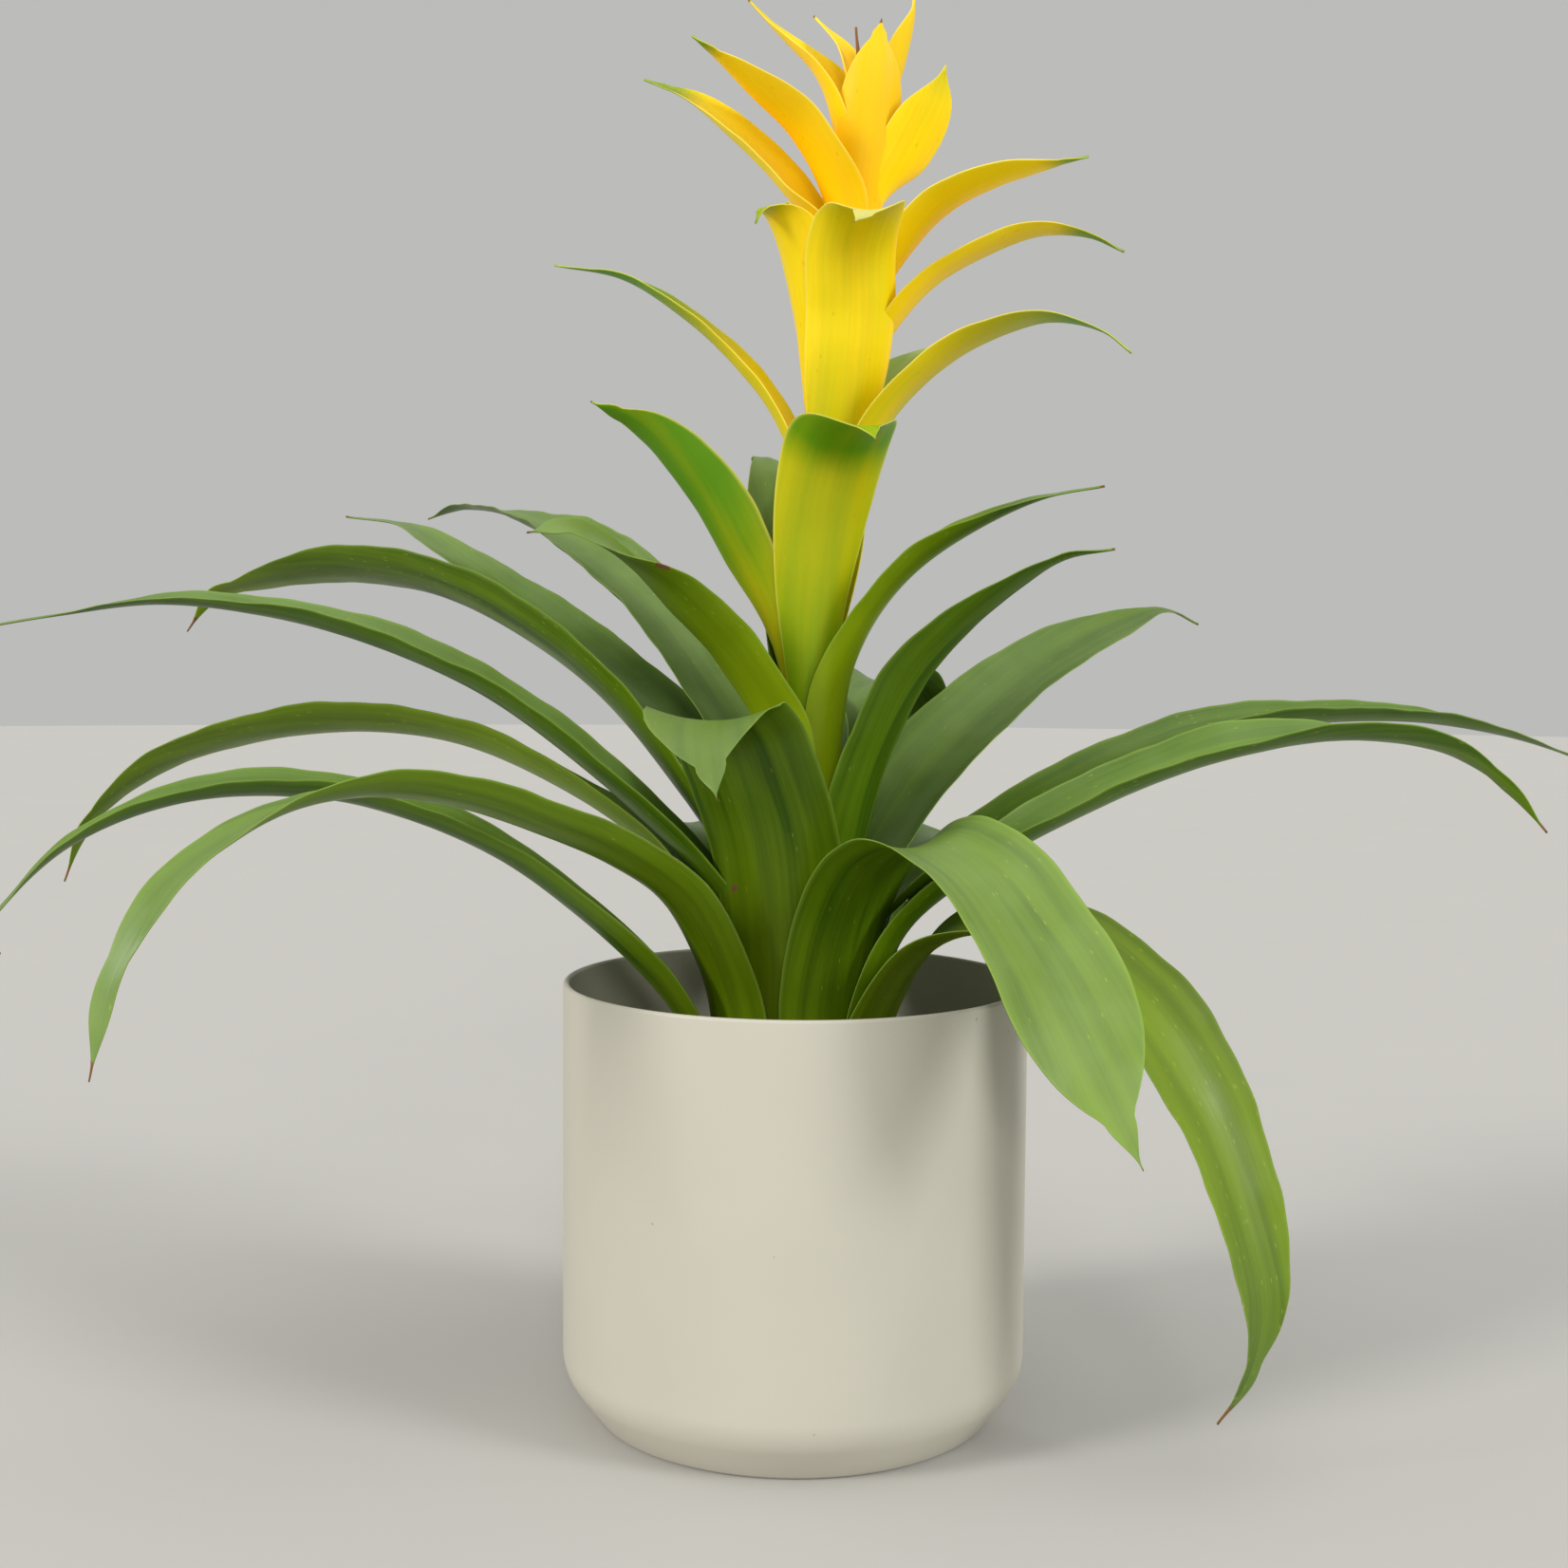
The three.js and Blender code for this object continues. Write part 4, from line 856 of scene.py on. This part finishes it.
# How each bract looks. ripe is how far it is green: 0 is clear yellow and 1 is green. warm turns it golden.
USUAL_BRACT = {
    "ripe": [(0, 0), (0.75, 0), (0.93, 0.5), (1, 0.8)],
    "bloom": [(0, 0), (1, 0)],
    "dry": 0.8, "fleck": 0.02, "ripple": 0.7, "warm": 0.1, "tint": 1.0, "scars": ()}
BRACT_LOOKS = {
    "bract_01": {"ripe": [(0, 1), (0.3, 0.85), (0.5, 0.66), (0.7, 0.58), (0.78, 0.98), (1, 0.9)],
        "dry": 1.2, "warm": 0},
    "bract_02": {"ripe": [(0, 0.4), (0.3, 0.5), (0.5, 0.85), (0.65, 1), (1, 1)], "dry": 1.2, "warm": 0,
        "tint": 0.88, "bloom": [(0, 0), (0.5, 0.15), (0.8, 0.45), (1, 0.5)]},
    "bract_03": {"ripe": [(0, 0.1), (0.6, 0.6), (1, 1)], "warm": 0},
    "bract_04": {"warm": 0},
    "bract_05": {"ripe": [(0, 0.1), (0.5, 0.18), (0.7, 0.75), (0.8, 1), (1, 1)], "dry": 1.2, "warm": 0,
        "bloom": [(0, 0), (0.7, 0), (1, 0.4)]},
    "bract_06": {"ripe": [(0, 0.5), (0.4, 0.8), (1, 0.98)], "bloom": [(0, 0.1), (1, 0.3)], "warm": 0},
    "bract_07": {"ripe": [(0, 0.25), (0.5, 0.15), (0.74, 0.6), (0.85, 0.95), (1, 1)],
        "bloom": [(0, 0), (0.7, 0), (1, 0.5)], "warm": 0},
    "bract_08": {
        "ripe": [(0, 0.5), (0.25, 0.35), (0.45, 0.1), (0.65, 0.12), (0.8, 0.3), (0.9, 0.4), (1, 0.6)],
        "bloom": [(0, 0), (0.7, 0), (0.9, 0.4), (1, 0.5)], "warm": 0},
    "bract_10": {"ripe": [(0, 0), (0.86, 0), (0.94, 0.8), (1, 0.95)]},
    "bract_11": {"ripe": [(0, 0), (0.8, 0.02), (0.87, 0.8), (1, 1)]},
    "bract_14": {"ripe": [(0, 0), (0.86, 0.03), (0.93, 0.8), (1, 1)]},
    "bract_15": {"ripe": [(0, 0), (0.82, 0.02), (0.9, 0.8), (1, 1)]},
    "bract_17": {"ripe": [(0, 0), (0.89, 0.02), (0.95, 0.8), (1, 1)], "warm": 0.5},
    "bract_19": {"ripe": [(0, 0), (0.85, 0.03), (1, 0.4)]},
    "bract_20": {"ripe": [(0, 0), (0.8, 0.02), (1, 0.4)], "warm": 0},
    "bract_21": {"ripe": [(0, 0.25), (0.3, 0), (1, 0)], "warm": 0.7, "dry": 2},
    "bract_22": {"ripe": [(0, 0), (1, 0)], "warm": 0.5, "dry": 1.5},
    "bract_23": {"ripe": [(0, 0), (1, 0)], "warm": 0.4, "dry": 1.5},
    "bract_24": {"ripe": [(0, 0.1), (1, 0.1)], "dry": 9, "warm": 1},
}


def cover_outline(radius, inset, steps=14):
    """The rounded lower edge of the cover pot, from the tapered foot up to the straight wall."""
    slope = math.atan2(COVER_CONE_HEIGHT, radius - COVER_BASE_RADIUS)
    turn = math.pi / 2 - slope
    centre_height = COVER_CONE_HEIGHT + COVER_BEND * math.tan(turn / 2)
    points = []
    for step in range(steps + 1):
        angle = -turn + turn * step / steps
        points.append((
            radius - COVER_BEND + (COVER_BEND - inset) * math.cos(angle),
            centre_height + (COVER_BEND - inset) * math.sin(angle)))
    return points


def cover_profile(radius, height, wall):
    """The cover pot's section: foot, outer wall, rolled lip, inner wall and floor."""
    outer = cover_outline(radius, 0)
    inner = cover_outline(radius, wall)
    slope = (radius - COVER_BASE_RADIUS) / COVER_CONE_HEIGHT
    floor_radius = inner[0][0] - slope * (inner[0][1] - COVER_FLOOR)
    lip = wall / 2
    rim = []
    for step in range(COVER_LIP_STEPS + 1):
        angle = math.pi * step / COVER_LIP_STEPS
        rim.append((radius - lip + lip * math.cos(angle), height - lip + lip * math.sin(angle)))
    foot = rounded([
        (0, 0), (COVER_BASE_RADIUS - COVER_EDGE_BREAK, 0),
        (COVER_BASE_RADIUS + slope * COVER_EDGE_BREAK, COVER_EDGE_BREAK), outer[0]], COVER_EDGE_ROUND)
    return foot + outer[1:] + rim + inner[::-1] + [(floor_radius, COVER_FLOOR), (0, COVER_FLOOR)]


class GUZMANIA_OT_cover_pot(bpy.types.Operator):
    """Turn the painted cover pot with its rolled lip, rounded lower edge and tapered foot"""
    bl_idname = "guzmania.cover_pot"
    bl_label = "Cover pot"

    def execute(self, context):
        sizes = context.scene.guzmania_pots
        profile = cover_profile(sizes.radius / MM, sizes.height / MM, sizes.wall / MM)
        mesh = turned("cover_pot_painted", profile, COVER_SEGMENTS)
        piece = mesh_object("cover_pot_painted", mesh, pot_paint(sizes.paint))
        settle(piece, "pot_paint", "cover_pot")
        return {"FINISHED"}


def grower_radius(height):
    """Outside radius of the grower's pot under its band."""
    return GROWER_BASE_RADIUS + GROWER_TAPER * (height - GROWER_FOOT)


class GUZMANIA_OT_grower_pot(bpy.types.Operator):
    """Turn the grower's pot with its rolled band and cut its drain holes"""
    bl_idname = "guzmania.grower_pot"
    bl_label = "Grower's pot"

    def execute(self, context):
        sizes = context.scene.guzmania_pots
        base = GROWER_FOOT
        top = base + GROWER_HEIGHT
        band = grower_radius(top - GROWER_BAND)
        profile = rounded([
            (0, base), (grower_radius(base), base), (band, top - GROWER_BAND),
            (band + GROWER_RIM_RADIUS - GROWER_MOUTH_RADIUS, top - GROWER_BAND),
            (GROWER_RIM_RADIUS, top), (GROWER_RIM_RADIUS - GROWER_WALL, top),
            (grower_radius(top) - GROWER_WALL, top - 2 * GROWER_WALL),
            (grower_radius(base) - GROWER_WALL, base + GROWER_WALL),
            (0, base + GROWER_WALL)], GROWER_ROUND)
        mesh = turned("grower_pot_plastic", profile, GROWER_SEGMENTS)
        piece = mesh_object("grower_pot_plastic", mesh, black_plastic(sizes.plastic))
        drills = bmesh.new()
        for hole in range(DRAIN_HOLES):
            turn = 2 * math.pi * hole / DRAIN_HOLES
            place = Vector((DRAIN_CIRCLE * math.cos(turn), DRAIN_CIRCLE * math.sin(turn), base)) * MM
            bmesh.ops.create_cone(
                drills, cap_ends=True, segments=DRAIN_SEGMENTS, radius1=DRAIN_RADIUS * MM,
                radius2=DRAIN_RADIUS * MM, depth=4 * GROWER_WALL * MM, matrix=Matrix.Translation(place))
        drill_mesh = bpy.data.meshes.new("drain_drills")
        drills.to_mesh(drill_mesh)
        drills.free()
        drill = mesh_object("drain_drills", drill_mesh)
        cut = piece.modifiers.new("drain holes", "BOOLEAN")
        cut.object = drill
        cut.operation = "DIFFERENCE"
        cut.solver = "EXACT"
        plain_mesh(context, piece)
        bpy.data.objects.remove(drill)
        settle(piece, "grower_plastic", "grower_pot")
        return {"FINISHED"}


def plain_mesh(context, piece):
    """Turns the piece's mesh into what its modifiers make of it, and drops them."""
    context.view_layer.update()
    shaped = piece.evaluated_get(context.evaluated_depsgraph_get())
    mesh = bpy.data.meshes.new_from_object(shaped)
    piece.modifiers.clear()
    piece.data = mesh


def chip_mesh(name, seed, material):
    """One broken chip of bark, about 1 long, 0.6 wide and 0.35 thick, with uneven flat faces."""
    draw = np.random.RandomState(seed)
    shape = bmesh.new()
    bmesh.ops.create_icosphere(shape, subdivisions=1, radius=0.5)
    for vertex in shape.verts:
        uneven = draw.uniform(*CHIP_UNEVEN)
        x, y, z = vertex.co
        vertex.co = Vector((x * uneven, y * CHIP_WIDTH * uneven, z * CHIP_DEPTH * uneven))
    mesh = bpy.data.meshes.new(name)
    shape.to_mesh(mesh)
    shape.free()
    return mesh_object(name, mesh, material)


def scatter_tree(chips, material):
    """Geometry nodes: scatters chips on faces that look up, turned and sized at random, and joins them."""
    tree = bpy.data.node_groups.new("Scatter bark chips", "GeometryNodeTree")
    tree.interface.new_socket("Geometry", in_out="INPUT", socket_type="NodeSocketGeometry")
    for name, kind in (("Chips per square metre", "NodeSocketFloat"), ("Chip length", "NodeSocketFloat"),
                       ("Seed", "NodeSocketInt")):
        tree.interface.new_socket(name, in_out="INPUT", socket_type=kind)
    tree.interface.new_socket("Geometry", in_out="OUTPUT", socket_type="NodeSocketGeometry")
    given = node(tree, "NodeGroupInput").outputs
    facing = node(tree, "ShaderNodeSeparateXYZ", {"Vector": node(tree, "GeometryNodeInputNormal")})
    upward = node(tree, "FunctionNodeCompare", {
        0: facing.outputs["Z"], 1: CHIPS_ON_FACES_UP}, operation="GREATER_THAN")
    height = node(tree, "ShaderNodeSeparateXYZ", {"Vector": node(tree, "GeometryNodeInputPosition")})
    high = node(tree, "FunctionNodeCompare", {
        0: height.outputs["Z"], 1: CHIPS_OVER * MM}, operation="GREATER_THAN")
    top = node(tree, "FunctionNodeBooleanMath", {0: upward, 1: high}, operation="AND")
    points = node(tree, "GeometryNodeDistributePointsOnFaces", {
        "Mesh": given["Geometry"], "Selection": top, "Density": given["Chips per square metre"],
        "Seed": given["Seed"]})
    kinds = node(tree, "GeometryNodeJoinGeometry")
    for chip in chips:
        source = node(tree, "GeometryNodeObjectInfo", {"Object": chip, "As Instance": True})
        tree.links.new(source.outputs["Geometry"], kinds.inputs["Geometry"])
    turn = node(tree, "FunctionNodeRandomValue", {
        0: (-CHIP_TILT, -CHIP_TILT, 0.0), 1: (CHIP_TILT, CHIP_TILT, 2 * math.pi),
        "Seed": given["Seed"]}, data_type="FLOAT_VECTOR")
    size = node(tree, "FunctionNodeRandomValue", {
        2: CHIP_SMALLEST, 3: CHIP_LARGEST, "Seed": given["Seed"]})
    length = node(tree, "ShaderNodeMath", {
        0: size.outputs[1], 1: given["Chip length"]}, operation="MULTIPLY")
    placed = node(tree, "GeometryNodeInstanceOnPoints", {
        "Points": points, "Instance": kinds, "Pick Instance": True, "Rotation": turn, "Scale": length})
    real = node(tree, "GeometryNodeRealizeInstances", {"Geometry": placed})
    covered = node(tree, "GeometryNodeSetMaterial", {"Geometry": real, "Material": material})
    both = node(tree, "GeometryNodeJoinGeometry", {"Geometry": covered})
    tree.links.new(given["Geometry"], both.inputs[0])
    node(tree, "NodeGroupOutput", {"Geometry": both})
    return tree


def set_inputs(modifier, values):
    """Sets a geometry nodes modifier's inputs, which are found by name and set by identifier."""
    for item in modifier.node_group.interface.items_tree:
        if item.item_type == "SOCKET" and item.in_out == "INPUT" and item.name in values:
            modifier[item.identifier] = values[item.name]


class GUZMANIA_OT_potting_mix(bpy.types.Operator):
    """Turn the body of mix and scatter bark chips over its top"""
    bl_idname = "guzmania.potting_mix"
    bl_label = "Potting mix"

    def execute(self, context):
        sizes = context.scene.guzmania_mix
        floor = GROWER_FOOT + GROWER_WALL + MIX_GAP
        heights = (floor, MIX_TOP - MIX_EDGE_RADIUS_AT)
        foot_radius, edge = (grower_radius(height) - GROWER_WALL - MIX_GAP for height in heights)
        low = MIX_TOP - MIX_EDGE_DROP
        profile = [(0, floor), (foot_radius, floor), (edge, low)]
        for step in range(1, MIX_DOME_STEPS + 1):
            share = step / MIX_DOME_STEPS
            profile.append((
                edge * (1 - share * MIX_DOME_REACH), low + MIX_DOME * math.sin(math.pi * share / 2)))
        stem_foot = STEM_PROFILE[0][0]
        hole = STEM_PROFILE[1][1]
        profile += [(hole, MIX_TOP - MIX_HOLE_DROP), (hole, stem_foot), (0, stem_foot - MIX_HOLE_FLOOR)]
        mesh = turned("potting_mix_bark", profile, MIX_SEGMENTS)
        peat = bark_and_peat("Damp milled peat", sizes.peat, sizes.bark, 0.8)
        bark = bark_and_peat(
            "Chipped pine bark", [c * 1.3 for c in sizes.peat], [c * 1.5 for c in sizes.bark], 0.7)
        piece = mesh_object("potting_mix_bark", mesh, peat)
        chips = [chip_mesh(f"bark_chip_{kind}", sizes.seed + kind, bark) for kind in range(CHIP_KINDS)]
        scatter = piece.modifiers.new("bark chips", "NODES")
        scatter.node_group = scatter_tree(chips, bark)
        set_inputs(scatter, {"Chips per square metre": sizes.chips, "Chip length": sizes.chip_length,
                             "Seed": sizes.seed})
        plain_mesh(context, piece)
        for chip in chips:
            bpy.data.objects.remove(chip)
        settle(piece, "potting_mix", "potting_mix")
        return {"FINISHED"}


class GUZMANIA_OT_flower_stem(bpy.types.Operator):
    """Turn the flower stem, which leans a little as it rises"""
    bl_idname = "guzmania.flower_stem"
    bl_label = "Flower stem"

    def execute(self, context):
        colours = context.scene.guzmania_blades
        heights = np.linspace(STEM_PROFILE[0][0], STEM_PROFILE[-1][0], STEM_ROWS)
        radii = np.interp(heights, [p[0] for p in STEM_PROFILE], [p[1] for p in STEM_PROFILE])
        padded = np.pad(radii, STEM_SMOOTHING // 2, "edge")
        smoothed = np.convolve(padded, np.ones(STEM_SMOOTHING) / STEM_SMOOTHING, "valid")
        profile = [(0, heights[0])] + list(zip(smoothed, heights)) + [(0, heights[-1] + STEM_TIP)]
        mesh = turned("flower_stem_tissue", profile, STEM_SEGMENTS, stem_shift)
        tissue = stem_tissue(colours.leaf_light, colours.leaf_ripe)
        piece = mesh_object("flower_stem_tissue", mesh, tissue)
        settle(piece, "stem_tissue", "flower_stem")
        return {"FINISHED"}


def leaf_tints(colours):
    # bloom is pale wax with a painted sheen on the inner face, and edge is a painted highlight along the
    # margins
    return {
        "deep": colours.leaf_deep, "light": colours.leaf_light, "ripe": colours.leaf_ripe,
        "warm": colours.leaf_ripe, "bloom": colours.bloom, "edge": linear("#8FA845"),
        "fleck": linear("#B8B648"), "dry": colours.dry, "gloss": 0.36, "scatter": LEAF_SCATTER}


def bract_tints(colours):
    # bloom is pale wax with a painted sheen on the inner face, and edge is a painted highlight along the
    # margins
    return {
        "deep": colours.bract_gold, "light": colours.bract_yellow, "ripe": colours.bract_green,
        "warm": linear("#FFC606"), "bloom": linear("#C9CFA0"), "edge": linear("#FFE97A"),
        "fleck": linear("#C08A10"), "dry": colours.dry, "gloss": 0.42, "scatter": (1.0, 0.7, 0.1)}


def stem_tissue(pale, ripe):
    """Smooth fibrous stem: pale green with faint lines along it and a waxy sheen."""
    material, tree = new_material("Waxed stem fibre")
    place = node(tree, "ShaderNodeTexCoord").outputs["Object"]
    # Fibres are about 1 mm apart and 40 mm long
    drawn = node(tree, "ShaderNodeMapping", {"Vector": place, "Scale": (1000.0, 1000.0, 25.0)})
    fibre = node(tree, "ShaderNodeTexNoise", {"Vector": drawn, "Scale": 1.0, "Detail": 3.0})
    tone = node(tree, "ShaderNodeMapRange", {"Value": fibre, "From Min": 0.35, "From Max": 0.65})
    colour = node(tree, "ShaderNodeMix", {0: tone, 6: pale, 7: ripe}, data_type="RGBA")
    rough = node(tree, "ShaderNodeMapRange", {"Value": fibre, "To Min": 0.38, "To Max": 0.55})
    bump = node(tree, "ShaderNodeBump", {"Height": fibre, "Strength": 0.3, "Distance": 0.0003})
    finish_material(tree, {
        "Base Color": colour.outputs[2], "Roughness": rough, "IOR": 1.42, "Subsurface Weight": 0.2,
        "Subsurface Radius": LEAF_SCATTER, "Subsurface Scale": 0.002, "Normal": bump})
    return material


def build_blades(blades, usual, looks, make, sizes, tissue, slot):
    """Builds each blade of a table in its own look, seeded by its place in the table."""
    for number, blade in enumerate(blades):
        look = {**usual, **looks.get(blade["name"], {})}
        mesh = blade_mesh(blade, look, sizes, make["columns"], make["seed"] + number)
        piece = mesh_object(blade["name"] + "_tissue", mesh, tissue)
        settle(piece, slot, blade["name"])


class GUZMANIA_OT_leaves(bpy.types.Operator):
    """Build the strap leaves, each with a cupped clasping foot, a waved margin and a drip tip"""
    bl_idname = "guzmania.leaves"
    bl_label = "Leaves"

    def execute(self, context):
        sizes = context.scene.guzmania_blades
        tissue = waxy_tissue("Waxy green leaf tissue", leaf_tints(sizes), LEAF_MAKE["soft"])
        build_blades(LEAVES, USUAL_LEAF, LEAF_LOOKS, LEAF_MAKE, sizes, tissue, "leaf_tissue")
        return {"FINISHED"}


class GUZMANIA_OT_bracts(bpy.types.Operator):
    """Build the spike of bracts in their spiral up the stem"""
    bl_idname = "guzmania.bracts"
    bl_label = "Bracts"

    def execute(self, context):
        sizes = context.scene.guzmania_blades
        tissue = waxy_tissue("Waxy yellow bract tissue", bract_tints(sizes), BRACT_MAKE["soft"])
        build_blades(BRACTS, USUAL_BRACT, BRACT_LOOKS, BRACT_MAKE, sizes, tissue, "bract_tissue")
        return {"FINISHED"}


def soft_light(name, direction, spread_deg, strength, colour):
    """An even light from one side, as soft as a box that fills spread_deg of the view from the object."""
    light = bpy.data.lights.new(name, "SUN")
    light.angle = math.radians(spread_deg)
    light.energy = strength
    light.color = colour
    lamp = bpy.data.objects.new(name, light)
    lamp.rotation_euler = (-Vector(direction)).to_track_quat("-Z", "Y").to_euler()
    bpy.context.scene.collection.objects.link(lamp)


def set_camera(scene):
    """The camera that took the photograph, as it was fitted to the pot."""
    lens = bpy.data.cameras.new("photograph")
    lens.sensor_fit = "HORIZONTAL"
    lens.sensor_width = SENSOR_MM
    lens.lens = SENSOR_MM * FOCAL_PIXELS / PHOTO_PIXELS
    lens.clip_start = 0.01
    camera = bpy.data.objects.new("photograph", lens)
    scene.collection.objects.link(camera)
    pitch = Matrix.Rotation(math.radians(90 - CAMERA_PITCH_DEG), 4, "X")
    roll = Matrix.Rotation(math.radians(CAMERA_ROLL_DEG), 4, "Z")
    camera.matrix_world = Matrix.Translation(Vector(CAMERA_PLACE_MM) * MM) @ pitch @ roll
    scene.camera = camera


def board(radius, colour):
    """The pale matt floor, a round board."""
    floor_shape = bmesh.new()
    bmesh.ops.create_circle(floor_shape, cap_ends=True, segments=FLOOR_SEGMENTS, radius=radius)
    floor_mesh = bpy.data.meshes.new("floor")
    floor_shape.to_mesh(floor_mesh)
    floor_shape.free()
    material, tree = new_material("Pale matt board")
    place = node(tree, "ShaderNodeTexCoord").outputs["Object"]
    mottle = node(tree, "ShaderNodeTexNoise", {"Vector": place, "Scale": 6.0, "Detail": 3.0})
    tone = node(tree, "ShaderNodeMix", {
        0: mottle, 6: colour, 7: [c * 0.96 for c in colour]}, data_type="RGBA")
    finish_material(tree, {"Base Color": tone.outputs[2], "Roughness": 0.8, "Specular IOR Level": 0.2})
    return mesh_object("floor", floor_mesh, material)


class GUZMANIA_OT_stage(bpy.types.Operator):
    """Set the camera, the pale floor, the even surround and four soft lights"""
    bl_idname = "guzmania.stage"
    bl_label = "Stage"

    def execute(self, context):
        sizes = context.scene.guzmania_stage
        scene = context.scene
        set_camera(scene)
        floor = board(sizes.floor, sizes.floor_colour)
        world = bpy.data.worlds.new("surround")
        world.use_nodes = True
        surround = world.node_tree.nodes["Background"].inputs
        surround["Color"].default_value = [*linear("#ECECEA"), 1.0]
        surround["Strength"].default_value = sizes.sky
        scene.world = world
        scene.view_settings.view_transform = "Standard"
        for name, direction, spread, colour in LAMPS:
            soft_light(name, direction, spread, getattr(sizes, name), colour)
        return {"FINISHED"}


class GUZMANIA_PT_panel(bpy.types.Panel):
    bl_label = "Potted guzmania"
    bl_idname = "GUZMANIA_PT_panel"
    bl_space_type = "VIEW_3D"
    bl_region_type = "UI"
    bl_category = "Guzmania"

    def draw(self, context):
        for group in (context.scene.guzmania_pots, context.scene.guzmania_mix,
                      context.scene.guzmania_blades, context.scene.guzmania_stage):
            box = self.layout.box()
            for name in group.bl_rna.properties.keys():
                if name not in ("rna_type", "name"):
                    box.prop(group, name)
        for operator in OPERATORS:
            self.layout.operator(operator.bl_idname)


GROUPS = (
    (PotSizes, "guzmania_pots"), (MixSizes, "guzmania_mix"),
    (BladeSizes, "guzmania_blades"), (StageSizes, "guzmania_stage"))
OPERATORS = (
    GUZMANIA_OT_cover_pot, GUZMANIA_OT_grower_pot, GUZMANIA_OT_potting_mix, GUZMANIA_OT_flower_stem,
    GUZMANIA_OT_leaves, GUZMANIA_OT_bracts, GUZMANIA_OT_stage)


def register():
    for group, name in GROUPS:
        bpy.utils.register_class(group)
        setattr(bpy.types.Scene, name, bpy.props.PointerProperty(type=group))
    for operator in OPERATORS:
        bpy.utils.register_class(operator)
    bpy.utils.register_class(GUZMANIA_PT_panel)


def unregister():
    bpy.utils.unregister_class(GUZMANIA_PT_panel)
    for operator in reversed(OPERATORS):
        bpy.utils.unregister_class(operator)
    for group, name in reversed(GROUPS):
        delattr(bpy.types.Scene, name)
        bpy.utils.unregister_class(group)


def main():
    register()
    for operator in OPERATORS:
        group, name = operator.bl_idname.split(".")
        getattr(getattr(bpy.ops, group), name)()


if __name__ == "__main__":
    main()
